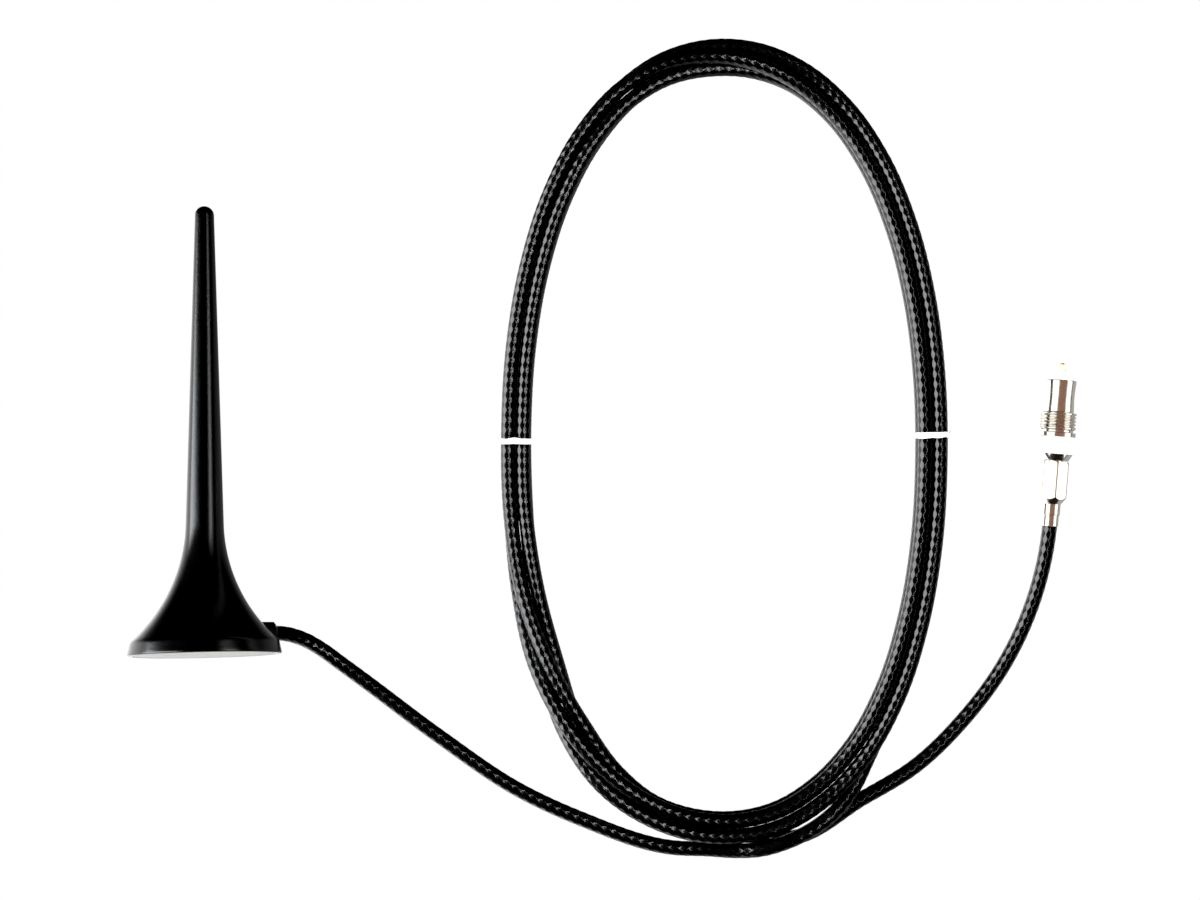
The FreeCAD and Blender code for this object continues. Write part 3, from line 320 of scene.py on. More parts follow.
def board_green():
    n = Nodes("circuit_board")
    weave = n.add("ShaderNodeTexBrick")
    weave.inputs["Scale"].default_value = 700.0
    weave.inputs["Color1"].default_value = (0.020, 0.120, 0.050, 1)
    weave.inputs["Color2"].default_value = (0.024, 0.135, 0.058, 1)
    weave.inputs["Mortar"].default_value = (0.030, 0.170, 0.075, 1)
    n.link(n.place, weave.inputs["Vector"])
    marks = n.noise(800.0, 4.0)
    return n.finish(weave.outputs["Color"], n.span(marks, 0.18, 0.3), n.bump(marks, 0.08, 0.00005))


def fired_ceramic():
    n = Nodes("component_ceramic")
    speck = n.noise(4200.0, 4.0, 0.7)
    tone = n.mix(n.span(speck, 0.0, 1.0), (0.30, 0.22, 0.15), (0.46, 0.36, 0.26))
    return n.finish(tone, n.span(speck, 0.4, 0.6), n.bump(speck, 0.2, 0.00004))


def make_materials():
    return {
        "satin_black_plastic": satin_black(),
        "gland_plastic": gland_black(),
        "pad_rubber": pad_grey(),
        "magnet_plating": plain_metal("magnet_plating", (0.55, 0.54, 0.52), (0.70, 0.69, 0.67), 0.12, 0.24),
        "zinc_steel": plain_metal("zinc_steel", (0.48, 0.49, 0.50), (0.64, 0.65, 0.66), 0.28, 0.45),
        "brass": plain_metal("brass", (0.66, 0.49, 0.20), (0.82, 0.65, 0.32), 0.18, 0.34),
        "copper": plain_metal("copper", (0.70, 0.34, 0.20), (0.86, 0.48, 0.31), 0.2, 0.36),
        "circuit_board": board_green(),
        "component_ceramic": fired_ceramic(),
        "natural_plastic": white_plastic("natural_plastic", (0.78, 0.77, 0.70), (0.88, 0.87, 0.82),
                                         0.4, 0.55),
        "cable_jacket": cable_black(),
        "tinned_braid": braid_metal(),
        "white_tie": tie_white(),
        "white_collar": white_plastic("white_collar", (0.86, 0.86, 0.85), (0.93, 0.93, 0.92), 0.22, 0.34),
        "white_insulator": white_plastic("white_insulator", (0.84, 0.84, 0.81), (0.92, 0.92, 0.89),
                                         0.3, 0.42),
        "nickel": nickel(),
        "gold": gold(),
    }


MATERIALS = make_materials()


# ---------------------------------------------------------------- mesh helpers

def new_piece(name, vertices, faces, slot, smooth=True, sharp_degrees=None):
    """Makes a mesh object, in metres, from millimetre points in the row frame."""
    mesh = bpy.data.meshes.new(name)
    mesh.from_pydata([tuple(point * MM) for point in vertices], [], faces)
    mesh.validate()
    tidy = bmesh.new()
    tidy.from_mesh(mesh)
    bmesh.ops.recalc_face_normals(tidy, faces=tidy.faces)
    tidy.to_mesh(mesh)
    tidy.free()
    piece = bpy.data.objects.new(name, mesh)
    bpy.context.scene.collection.objects.link(piece)
    mesh.materials.append(MATERIALS[slot])
    for polygon in mesh.polygons:
        polygon.use_smooth = smooth
    if sharp_degrees is not None:
        mesh.set_sharp_from_angle(angle=math.radians(sharp_degrees))
    return piece


def ring_faces(first, second, count):
    """Quads between two rings of vertex numbers starting at first and second."""
    faces = []
    for side in range(count):
        after = (side + 1) % count
        faces.append((first + side, first + after, second + after, second + side))
    return faces


def lathe(name, profile, matrix, slot, segments=96, shape=None, sharp_degrees=None):
    """Turns (radius, height) points about a frame's Z. Ends at zero radius close in a fan.

    shape(radius, height, angle) may return a changed (radius, height)."""
    vertices = []
    rings = []
    for radius, height in profile:
        if abs(radius) <= 1e-6:
            rings.append((len(vertices), True))
            vertices.append(matrix @ Vector((0, 0, height)))
            continue
        rings.append((len(vertices), False))
        for step in range(segments):
            angle = FULL * step / segments
            here = shape(radius, height, angle) if shape else (radius, height)
            vertices.append(matrix @ Vector((here[0] * math.cos(angle), here[0] * math.sin(angle), here[1])))
    faces = []
    for (first, first_point), (second, second_point) in zip(rings, rings[1:]):
        if first_point and second_point:
            continue
        if first_point:
            faces += [(first, second + step, second + (step + 1) % segments) for step in range(segments)]
        elif second_point:
            faces += [(first + step, first + (step + 1) % segments, second) for step in range(segments)]
        else:
            faces += ring_faces(first, second, segments)
    return new_piece(name, vertices, faces, slot, sharp_degrees=sharp_degrees)


def arc_points(centre, radius, start, end, count):
    """Points on an arc, angles in degrees, both ends included."""
    points = []
    for step in range(count + 1):
        angle = math.radians(start + (end - start) * step / count)
        points.append((centre[0] + radius * math.cos(angle), centre[1] + radius * math.sin(angle)))
    return points


def line_points(first, second, count):
    """Points from first up to, and not including, second."""
    return [(first[0] + (second[0] - first[0]) * step / count,
             first[1] + (second[1] - first[1]) * step / count) for step in range(count)]


# ---------------------------------------------------------------- antenna shell

FOOT_RADIUS = 16.6
RIM_TOP = (16.15, 2.5)
FLARE_FOOT = (15.6, 3.45)
FLARE_RADIUS = 35.6
RIM_CORNER = 1.8
MAST_FOOT = (4.16, 28.4)
TIP_RADIUS = 2.14
TIP_SHOULDER = 98.88
ANTENNA_HEIGHT = 101.0
PAD_RADIUS = 15.2
PAD_RECESS = 0.6


def arc_through(first, second, radius, count, hollow):
    """Arc of a given radius between two profile points; hollow arcs curve away from the axis."""
    a, b = Vector(first), Vector(second)
    chord = b - a
    rise = math.sqrt(radius * radius - chord.length_squared / 4.0)
    side = Vector((-chord.y, chord.x)).normalized()
    centre = (a + b) / 2.0 + side * (-rise if hollow else rise)
    start = math.atan2(a.y - centre.y, a.x - centre.x)
    end = math.atan2(b.y - centre.y, b.x - centre.x)
    if end - start > math.pi:
        end -= FULL
    if start - end > math.pi:
        end += FULL
    points = []
    for step in range(count):
        angle = start + (end - start) * step / count
        points.append((centre.x + radius * math.cos(angle), centre.y + radius * math.sin(angle)))
    return points


def antenna_profile():
    """Outline of the shell from the recess in its face, over the rim and up to the tip."""
    edge = 0.35
    points = [(0.0, PAD_RECESS), (PAD_RADIUS, PAD_RECESS), (PAD_RADIUS, 0.12), (PAD_RADIUS + 0.12, 0.0)]
    points += [(FOOT_RADIUS - edge, 0.0)]
    points += arc_points((FOOT_RADIUS - edge, edge), edge, -90.0, 0.0, 6)[1:]
    points += line_points((FOOT_RADIUS - 0.02, 0.5), RIM_TOP, 4)
    points += arc_through(RIM_TOP, FLARE_FOOT, RIM_CORNER, 8, False)
    points += arc_through(FLARE_FOOT, MAST_FOOT, FLARE_RADIUS, 60, True)
    points += line_points(MAST_FOOT, (TIP_RADIUS, TIP_SHOULDER), 40)
    for step in range(10):
        angle = math.radians(90.0 * step / 10)
        points.append((TIP_RADIUS * math.cos(angle),
                       TIP_SHOULDER + (ANTENNA_HEIGHT - TIP_SHOULDER) * math.sin(angle)))
    points.append((0.0, ANTENNA_HEIGHT))
    return points


def make_antenna_shell():
    shell = lathe("antenna_shell", antenna_profile(), ANTENNA, "satin_black_plastic", 192,
                  sharp_degrees=50.0)
    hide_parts("radome_shell")
    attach(shell, "antenna")
    return shell


# ---------------------------------------------------------------- cable

CABLE_RADIUS = 1.65
GLAND_HEIGHT = 4.6
GLAND_END = 16.2
COIL_X, COIL_Y = 114.2, 46.0
COIL_HALF_WIDTH, COIL_HALF_LENGTH = 46.8, 87.1
COIL_SQUARENESS = 2.18
COIL_TUCK = 0.8
STRAND_PITCH = 3.4
TWIST_SPREAD = 0.05
TURNS = 4
TAIL_BENDS = [(19.6, 2.2, 4.0), (23.4, -0.2, 2.55), (27.6, -3.4, 1.85), (33.0, -7.4, 1.65),
              (50.0, -20.1, 1.65), (68.2, -32.3, 1.65), (81.8, -38.6, 1.65)]
JOINING = [(258.0, 6.4, 1.65), (266.0, 5.35, 1.65), (273.0, 5.5, 2.5), (279.0, 5.5, 4.4),
           (285.0, 5.4, 5.2), (291.0, 5.4, 5.4), (297.0, 5.2, 5.05), (303.0, 4.5, 3.3),
           (309.0, 3.05, 1.85), (315.0, 2.0, 1.65)]
LEAVING = [(268.0, 1.75, 1.65), (274.0, 2.1, 1.65), (280.0, 3.4, 1.65), (286.0, 5.6, 1.65)]
LEAD_BENDS = [(157.7, -26.7, 1.65), (168.8, -15.9, 1.65), (176.9, -5.0, 1.9), (183.6, 9.5, 3.0)]
REGULAR_START = 321.0
REGULAR_END = 262.0
TURN_STEP = 12.0


def smooth_step(value, low, high):
    share = min(1.0, max(0.0, (value - low) / (high - low)))
    return share * share * (3.0 - 2.0 * share)


def coil_line(angle):
    across = abs(math.cos(angle)) / COIL_HALF_WIDTH
    along = abs(math.sin(angle)) / COIL_HALF_LENGTH
    radius = (across ** COIL_SQUARENESS + along ** COIL_SQUARENESS) ** (-1.0 / COIL_SQUARENESS)
    return Vector((COIL_X + radius * math.cos(angle), COIL_Y + radius * math.sin(angle), 0))


def coil_outward(angle):
    step = 1e-4
    along = coil_line(angle + step) - coil_line(angle - step)
    return Vector((along.y, -along.x, 0)).normalized()


def polar_angle(turn_angle):
    even = math.radians(turn_angle)
    polar = math.atan2(COIL_HALF_LENGTH * math.sin(even), COIL_HALF_WIDTH * math.cos(even))
    return polar + FULL * round((even - polar) / FULL)


def strand_corner(turn_angle):
    turns, within = divmod(turn_angle, 360.0)
    quarter_back = 90.0 * smooth_step(within, 60.0, 130.0)
    half_forward = 180.0 * smooth_step(within, 190.0, 250.0)
    return math.radians(-135.0 + 90.0 * turns - quarter_back + half_forward)


def beside_coil(turn_angle, outward, height):
    within = turn_angle % 360.0
    near = smooth_step(within, 235.0, 262.0) * (1.0 - smooth_step(within, 290.0, 320.0))
    angle = polar_angle(turn_angle)
    point = coil_line(angle) + coil_outward(angle) * (outward - COIL_TUCK * near)
    point.z = TABLE_Z + height
    return point


def strand_point(turn_angle):
    corner = strand_corner(turn_angle)
    between = math.cos(2.0 * corner) ** 2
    reach = STRAND_PITCH / math.sqrt(2.0) * (1.0 + TWIST_SPREAD * between)
    middle = CABLE_RADIUS + reach * max(abs(math.cos(corner)), abs(math.sin(corner)))
    return beside_coil(turn_angle, reach * math.cos(corner), middle + reach * math.sin(corner))


def on_table(bends):
    return [Vector((x, y, TABLE_Z + height)) for x, y, height in bends]


def cable_knots():
    """Points of the whole lead, and the number of the knot where each stretch ends."""
    mouth = ANTENNA @ Vector((GLAND_END + 2.5, 0, GLAND_HEIGHT))
    inside = ANTENNA @ Vector((GLAND_END - 3.0, 0, GLAND_HEIGHT))
    knots = [inside, mouth] + on_table(TAIL_BENDS)
    tail_end = len(knots) - 3
    knots += [beside_coil(*place) for place in JOINING]
    regular_end = REGULAR_END + 360.0 * TURNS
    steps = round((regular_end - REGULAR_START) / TURN_STEP)
    step = (regular_end - REGULAR_START) / steps
    knots += [strand_point(REGULAR_START + step * count) for count in range(steps + 1)]
    coil_end = len(knots)
    knots += [beside_coil(*place) for place in LEAVING]
    knots += [LEAD_PIVOT] + on_table(LEAD_BENDS)
    lead_end = len(knots) - 3
    knots += [PLUG_BASE, PLUG_BASE + PLUG_WAY * 3.0]
    return knots, (tail_end, coil_end, lead_end)


def knot_tangents(knots):
    tangents = [(knots[1] - knots[0]).normalized()]
    for before, here, after in zip(knots, knots[1:], knots[2:]):
        back = here - before
        ahead = after - here
        ratio = ahead.length / back.length
        tangents.append((back * ratio + ahead / ratio).normalized())
    tangents.append((knots[-1] - knots[-2]).normalized())
    return tangents


def cable_line(knots, spacing):
    """Fine points along the lead, their distance from its start, and each knot's distance."""
    tangents = knot_tangents(knots)
    points, distances, knot_distances = [knots[0]], [0.0], [0.0]
    for a, ta, b, tb in zip(knots, tangents, knots[1:], tangents[1:]):
        reach = (b - a).length
        count = max(2, round(reach / spacing))
        for step in range(1, count + 1):
            t = step / count
            here = (a * (2 * t ** 3 - 3 * t ** 2 + 1) + ta * (reach * (t ** 3 - 2 * t ** 2 + t))
                    + b * (3 * t ** 2 - 2 * t ** 3) + tb * (reach * (t ** 3 - t ** 2)))
            distances.append(distances[-1] + (here - points[-1]).length)
            points.append(here)
        knot_distances.append(distances[-1])
    return points, distances, knot_distances


def carried_frames(points):
    """One normal per point that follows the line without spinning about it."""
    normals = []
    way = (points[1] - points[0]).normalized()
    normal = way.orthogonal().normalized()
    for index in range(len(points)):
        ahead = points[min(index + 1, len(points) - 1)]
        behind = points[max(index - 1, 0)]
        new_way = (ahead - behind).normalized()
        normal = way.rotation_difference(new_way) @ normal
        normal = (normal - new_way * normal.dot(new_way)).normalized()
        way = new_way
        normals.append((new_way, normal))
    return normals


BRAID_LENGTH = 2.25
BRAID_COUNT = 8
BRAID_DEPTH = 0.065
CABLE_PIECES = ("lead_at_antenna", "lead_coil", "lead_leaving_coil", "lead_at_plug")


def braid_relief(distance, angle):
    """Height of the woven pattern that shows through the jacket: two crossing sets of ridges."""
    first = math.cos(BRAID_COUNT * angle + FULL * distance / BRAID_LENGTH)
    second = math.cos(BRAID_COUNT * angle - FULL * distance / BRAID_LENGTH)
    return BRAID_DEPTH * (max(first, second) - 0.6)


def make_cable_piece(name, line, first, last, sides=BRAID_COUNT * 4):
    """One stretch of the jacket between two point numbers of the line, ends closed."""
    points, distances, frames = line
    vertices = []
    faces = []
    for index in range(first, last + 1):
        way, normal = frames[index]
        across = way.cross(normal)
        for side in range(sides):
            angle = FULL * side / sides
            radius = CABLE_RADIUS + braid_relief(distances[index], angle)
            spoke = normal * math.cos(angle) + across * math.sin(angle)
            vertices.append(points[index] + spoke * radius)
    rings = last - first + 1
    for ring in range(rings - 1):
        faces += ring_faces(ring * sides, (ring + 1) * sides, sides)
    faces.append(tuple(range(sides)))
    faces.append(tuple(range((rings - 1) * sides, rings * sides)))
    piece = new_piece(name, vertices, faces, "cable_jacket", sharp_degrees=50.0)
    lay_weave_map(piece, sides, [distances[index] for index in range(first, last + 1)])
    return piece


def lay_weave_map(piece, sides, distances):
    """UV map of one jacket: U counts braid lengths along it, V counts ridges round it."""
    weave = piece.data.uv_layers.new(name="weave")
    for face in piece.data.polygons:
        places = [divmod(vertex, sides) for vertex in face.vertices]
        wraps = len(places) == 4 and max(side for _, side in places) - min(side for _, side in places) > 1
        for corner, (ring, side) in zip(face.loop_indices, places):
            around = sides if wraps and side == 0 else side
            weave.data[corner].uv = (distances[ring] / BRAID_LENGTH, BRAID_COUNT * around / sides)


CORE_LAYERS = (("braid", "tinned_braid", (1.18, 0.83)),
               ("dielectric", "natural_plastic", (0.79, 0.27)),
               ("conductor", "copper", (0.24,)))
CORE_SIDES = 16
CORE_STEP = 4
CORE_SKIP = 8


def make_core_piece(name, line, first, last, radii, slot):
    """One stretch of a layer under the jacket: a tube between two radii, or a wire of one radius."""
    points, _, frames = line
    rings = list(range(first, last, CORE_STEP)) + [last]
    count = len(rings)
    vertices = []
    faces = []
    for wall, radius in enumerate(radii):
        for index in rings:
            way, normal = frames[index]
            across = way.cross(normal)
            for side in range(CORE_SIDES):
                angle = FULL * side / CORE_SIDES
                spoke = normal * math.cos(angle) + across * math.sin(angle)
                vertices.append(points[index] + spoke * radius)
        for ring in range(wall * count, (wall + 1) * count - 1):
            faces += ring_faces(ring * CORE_SIDES, (ring + 1) * CORE_SIDES, CORE_SIDES)
    for end in (0, (count - 1) * CORE_SIDES):
        if len(radii) == 2:
            faces += ring_faces(end, end + count * CORE_SIDES, CORE_SIDES)
        else:
            faces.append(tuple(range(end, end + CORE_SIDES)))
    return new_piece(name, vertices, faces, slot, sharp_degrees=50.0)


def make_cable():
    knots, stretch_ends = cable_knots()
    spacing = BRAID_LENGTH / 4.0
    points, distances, knot_distances = cable_line(knots, spacing)
    line = (points, distances, carried_frames(points))
    marks = [0]
    for knot in stretch_ends:
        target = knot_distances[knot]
        marks.append(min(range(len(distances)), key=lambda i: abs(distances[i] - target)))
    marks.append(len(points) - 1)
    tail = make_cable_piece("lead_at_antenna", line, marks[0], marks[1])
    coil = make_cable_piece("lead_coil", line, marks[1], marks[2])
    leaving = make_cable_piece("lead_leaving_coil", line, marks[2], marks[3])
    at_plug = make_cable_piece("lead_at_plug", line, marks[3], marks[4])
    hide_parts("coil_jacket")
    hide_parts("lead_jacket")
    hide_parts("feed_jacket")
    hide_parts("plug_jacket")
    bend_stretches(tail, coil, leaving, at_plug)
    for layer, slot, radii in CORE_LAYERS:
        tail = make_core_piece(layer + "_at_antenna", line, marks[0] + CORE_SKIP, marks[1], radii, slot)
        coil = make_core_piece(layer + "_coil", line, marks[1], marks[2], radii, slot)
        leaving = make_core_piece(layer + "_leaving_coil", line, marks[2], marks[3], radii, slot)
        at_plug = make_core_piece(layer + "_at_plug", line, marks[3], marks[4] - CORE_SKIP, radii, slot)
        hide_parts("coil_" + layer)
        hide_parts("lead_" + layer)
        bend_stretches(tail, coil, leaving, at_plug)


def bend_stretches(tail, coil, leaving, at_plug):
    """The jacket and each layer in it are placed the same way: the coil stretch rides on the coil's body and the
    other stretches are fixed where they lie, so no layer leaves the jacket.
    """
    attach(coil, "coil")
    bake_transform(tail)
    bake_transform(leaving)
    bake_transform(at_plug)


# ---------------------------------------------------------------- gland and foot pad

GLAND_START = 12.23
GLAND_FLAT = 2.62
GLAND_BEVEL = 0.55
GLAND_BORE = 1.78


def polygon_reach(angle, sides, softness=0.0):
    """Distance to a regular polygon's edge, as a multiple of its flat's distance.

    Softness rounds the corners: 0 is sharp, 1 is a circle."""
    wedge = FULL / sides
    off_flat = (angle + wedge / 2.0) % wedge - wedge / 2.0
    return (1.0 - softness) / math.cos(off_flat) + softness


def gland_matrix():
    """The gland's own frame: its axis on Z, pointing out of the foot."""
    outward = (ANTENNA.to_3x3() @ Vector((1, 0, 0))).normalized()
    up = (ANTENNA.to_3x3() @ Vector((0, 0, 1))).normalized()
    return axes_matrix(ANTENNA @ Vector((0, 0, GLAND_HEIGHT)), up, outward)


def make_cable_gland():
    """Eight-sided strain relief with a bevelled mouth and a short sleeve round the cable."""
    mouth = GLAND_END - GLAND_BEVEL
    outline = [(2.15, 10.8), (2.15, GLAND_START), (-(GLAND_FLAT - 0.08), GLAND_START),
               (-GLAND_FLAT, GLAND_START + 0.08)]
    outline += [(-GLAND_FLAT, GLAND_START + 0.1 + step * 0.5) for step in range(7)]
    outline += [(-GLAND_FLAT, mouth - 0.06), (-(GLAND_FLAT - 0.03), mouth)]
    outline += [(-(GLAND_FLAT - GLAND_BEVEL), GLAND_END - 0.02),
                (-(GLAND_FLAT - GLAND_BEVEL - 0.06), GLAND_END)]
    outline += [(GLAND_BORE + 0.1, GLAND_END), (GLAND_BORE, GLAND_END - 0.1), (GLAND_BORE, 10.8),
                (2.15, 10.8)]

    def eight_sided(radius, height, angle):
        reach = polygon_reach(angle, 8, 0.12) if radius < 0 else 1.0
        return abs(radius) * reach, height

    gland = lathe("strain_relief", outline, gland_matrix(), "gland_plastic", 96, eight_sided, 28.0)
    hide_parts("cable_gland")
    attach(gland, "antenna")


PAD_EDGE = 15.1
PAD_THICKNESS = 0.5


def make_foot_pad():
    """Thin soft pad over the magnet: rounded edge and a face pressed in slightly by use."""
    outline = [(0.0, 0.035)]
    outline += [(radius, 0.035 * (1.0 - (radius / 12.0) ** 2)) for radius in (3.0, 6.0, 9.0, 12.0)]
    outline += [(PAD_EDGE - 0.15, 0.0)]
    outline += arc_points((PAD_EDGE - 0.15, 0.15), 0.15, -90.0, 0.0, 6)[1:]
    outline += [(PAD_EDGE, 0.4), (PAD_EDGE - 0.08, PAD_THICKNESS), (0.0, PAD_THICKNESS)]
    pad = lathe("soft_pad", outline, ANTENNA, "pad_rubber", 144, sharp_degrees=40.0)
    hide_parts("foot_pad")
    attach(pad, "antenna")


# ---------------------------------------------------------------- twist ties

TIE_HALF_WIDTH = 0.65
TIE_THICKNESS = 0.3
TIE_GAP = 0.08
TIE_LEFT_ANGLE, TIE_RIGHT_ANGLE = 179.5, 1.4


def tie_frame(angle):
    """Frame of a tie round the bundle: X out of the coil, Y up, Z along the strands."""
    middle = coil_line(angle)
    middle.z = TABLE_Z + CABLE_RADIUS + STRAND_PITCH / 2.0
    outward = coil_outward(angle)
    return axes_matrix(middle, outward, outward.cross(Vector((0, 0, 1))))


def bundle_reach(angle):
    """Distance from the bundle's middle to a taut strip round its four strands."""
    half = STRAND_PITCH / 2.0
    quarter = FULL / 4.0
    off_flat = (angle + quarter / 2.0) % quarter - quarter / 2.0
    flat = half + CABLE_RADIUS
    if abs(flat * math.tan(off_flat)) <= half:
        return flat / math.cos(off_flat)
    off_corner = abs(off_flat) - quarter / 2.0
    corner = half * math.sqrt(2.0)
    aside = corner * math.sin(off_corner)
    return corner * math.cos(off_corner) + math.sqrt(CABLE_RADIUS ** 2 - aside ** 2)


def ribbon(stations, half_width, thickness, closed):
    """Vertices and faces of a strip; each station gives its middle, width way and outward way."""
    vertices = []
    faces = []
    edge = thickness * 0.35
    crown = thickness * 1.15
    section = [(-half_width, edge), (-half_width + edge, 0.0), (half_width - edge, 0.0),
               (half_width, edge), (half_width, thickness - edge), (half_width - edge, thickness),
               (half_width * 0.4, crown), (-half_width * 0.4, crown),
               (-half_width + edge, thickness), (-half_width, thickness - edge)]
    for middle, across, outward, widen in stations:
        for side, height in section:
            vertices.append(middle + across * (side * widen) + outward * height)
    count = len(section)
    total = len(stations)
    for index in range(total if closed else total - 1):
        faces += ring_faces(index * count, ((index + 1) % total) * count, count)
    if not closed:
        faces.append(tuple(range(count)))
        faces.append(tuple(range((total - 1) * count, total * count)))
    return vertices, faces


def make_tie(name, angle, node, dice, length, curl):
    """Paper strip drawn round the strands, with its two ends twisted together beside them."""
    place = tie_frame(angle)
    turn = place.to_3x3()
    steps = 120
    stations = []
    wobble = [dice.uniform(-1, 1) for _ in range(8)]
    for step in range(steps):
        here = FULL * step / steps
        ripple = sum(value * math.sin((count + 2) * here + count) for count, value in enumerate(wobble))
        reach = bundle_reach(here) + TIE_GAP
        spoke = Vector((math.cos(here), math.sin(here), 0))
        middle = place @ (spoke * reach + Vector((0, 0, 0.05 * ripple)))
        tilt = 0.04 * ripple
        across = turn @ (Vector((0, 0, 1)) + spoke * tilt)
        stations.append((middle, across.normalized(), turn @ spoke, 1.0 + 0.045 * ripple))
    vertices, faces = ribbon(stations, TIE_HALF_WIDTH, TIE_THICKNESS, True)
    for strand in (0.0, math.pi):
        tail = []
        pieces = 40
        reach_out = STRAND_PITCH / 2.0 + CABLE_RADIUS + 0.05
        for step in range(pieces + 1):
            share = step / pieces
            spin = strand + 1.5 * math.pi * share
            droop = curl * share * share
            middle = place @ (Vector((reach_out + length * share * (1.0 - 0.25 * abs(curl) * share),
                                      -0.5 * share * share, droop))
                              + Vector((0, math.cos(spin), math.sin(spin))) * 0.16)
            across = turn @ Vector((0.0, -math.sin(spin), math.cos(spin)))
            outward = turn @ Vector((0.0, math.cos(spin), math.sin(spin)))
            tail.append((middle, across, outward, 0.72 - 0.1 * share))
        tail_vertices, tail_faces = ribbon(tail, TIE_HALF_WIDTH, 0.22, False)
        offset = len(vertices)
        vertices += tail_vertices
        faces += [tuple(corner + offset for corner in face) for face in tail_faces]
    tie = new_piece(name, vertices, faces, "white_tie", sharp_degrees=55.0)
    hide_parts(node)
    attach(tie, "coil")


def make_ties():
    dice = random.Random(7)
    make_tie("twist_tie_left", polar_angle(TIE_LEFT_ANGLE), "tie_left", dice, 0.7, 0.35)
    make_tie("twist_tie_right", polar_angle(TIE_RIGHT_ANGLE), "tie_right", dice, 1.5, -0.6)


# ---------------------------------------------------------------- plug

THREAD_START, THREAD_END = 21.9, 25.45
THREAD_PITCH = 0.75
THREAD_DEPTH = 0.42
NOSE_START, NOSE_END = 25.75, 32.9
NOSE_RADIUS = 3.25


def thread_cut(height, angle):
    """Depth of the helical groove at a height and angle; it fades out at both ends."""
    phase = (height / THREAD_PITCH - angle / FULL) % 1.0
    slope = abs(phase - 0.5) * 2.0
    groove = min(1.0, max(0.0, (slope - 0.12) / 0.76))
    fade = smooth_step(height, THREAD_START, THREAD_START + 0.5) * (
        1.0 - smooth_step(height, THREAD_END - 0.45, THREAD_END))
    return THREAD_DEPTH * groove * fade


def nose_radius(height):
    """Gently waisted nose with a rounded, slightly flared lip."""
    share = (height - NOSE_START) / (NOSE_END - NOSE_START)
    waist = 0.12 * math.sin(math.pi * min(1.0, share * 1.12)) ** 2
    lip = 0.06 * smooth_step(height, NOSE_END - 1.4, NOSE_END - 0.6)
    return NOSE_RADIUS - waist + lip


def plug_shell_outline():
    outline = [(0.83, 7.3), (1.85, 7.3), (1.85, 14.75), (2.87, 14.75), (2.95, 14.83), (3.72, 16.2),
               (3.76, 16.28)]
    outline += [(3.4, 16.28), (3.4, 20.12), (3.97, 20.12), (4.05, 20.2), (4.05, 21.05), (3.97, 21.15)]
    outline += [(3.5, 21.2), (3.45, 21.25), (3.45, 21.6), (3.62, 21.75)]
    rings = 64
    outline += [(4.0, THREAD_START + (THREAD_END - THREAD_START) * step / rings)
                for step in range(rings + 1)]
    outline += [(3.45, 25.62), (nose_radius(NOSE_START), NOSE_START)]
    outline += [(nose_radius(NOSE_START + 0.25 * step), NOSE_START + 0.25 * step) for step in range(1, 27)]
    lip = nose_radius(NOSE_END)
    outline += arc_points((lip - 0.22, NOSE_END - 0.22), 0.22, 0.0, 90.0, 6)
    outline += arc_points((2.35 + 0.15, NOSE_END - 0.15), 0.15, 90.0, 180.0, 5)
    outline += [(2.35, 22.0), (0.83, 21.0), (0.83, 7.3)]
    return outline


def make_plug_shell():
    def threaded(radius, height, angle):
        if THREAD_START <= height <= THREAD_END and radius > 3.9:
            return radius - thread_cut(height, angle), height
        return radius, height

    shell = lathe("plug_body", plug_shell_outline(), PLUG, "nickel", 128, threaded, 34.0)
    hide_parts("plug_shell")
    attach(shell, "plug")


def make_collar():
    """White ring pressed over the seat, with rounded edges and a shallow moulding line."""
    low, high, inner, outer = 16.3, 20.1, 3.45, 4.25
    soft = 0.4
    outline = [(inner, low), (outer - soft, low)]
    outline += arc_points((outer - soft, low + soft), soft, -90.0, 0.0, 8)[1:]
    outline += [(outer, 18.05), (outer - 0.03, 18.15), (outer - 0.03, 18.25), (outer, 18.35)]
    outline += arc_points((outer - soft, high - soft), soft, 0.0, 90.0, 8)
    outline += [(inner, high), (inner, low)]
    collar = lathe("collar", outline, PLUG, "white_collar", 96, sharp_degrees=40.0)
    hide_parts("collar_ring")
    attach(collar, "plug")


def make_ferrule():
    """Crimp ferrule: pressed hexagon whose flats run out on a cone, then a stepped round tail."""
    flat, bore = 2.85, 2.3
    corner = 0.98 * flat / math.cos(math.pi / 6.0)
    tail, step_radius = 1.85, 2.02
    outline = [(1.68, 0.0), (tail - 0.08, 0.0), (tail, 0.08), (tail, 2.45), (step_radius - 0.04, 2.5),
               (step_radius, 2.56), (step_radius, 5.0)]
    outline += [(step_radius + (corner - step_radius) * share, 5.0 + 1.55 * share)
                for share in (0.08, 0.2, 0.3, 0.4, 0.5, 0.6, 0.65, 0.7, 0.75, 0.8, 0.85, 0.9, 0.95, 1.0)]
    outline += [(corner, 6.7 + 0.5 * step) for step in range(16)]
    outline += [(corner - 0.1, 14.5), (corner - 0.2, 14.6), (bore, 14.6), (bore, 6.5), (1.68, 6.5),
                (1.68, 0.0)]

    def pressed(radius, height, angle):
        if radius <= flat - 0.4 or height < 5.0:
            return radius, height
        return min(radius, flat * polygon_reach(angle + math.pi / 6.0, 6, 0.03)), height

    ferrule = lathe("ferrule", outline, PLUG, "nickel", 144, pressed, 24.0)
    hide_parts("crimp_ferrule")
    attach(ferrule, "plug")


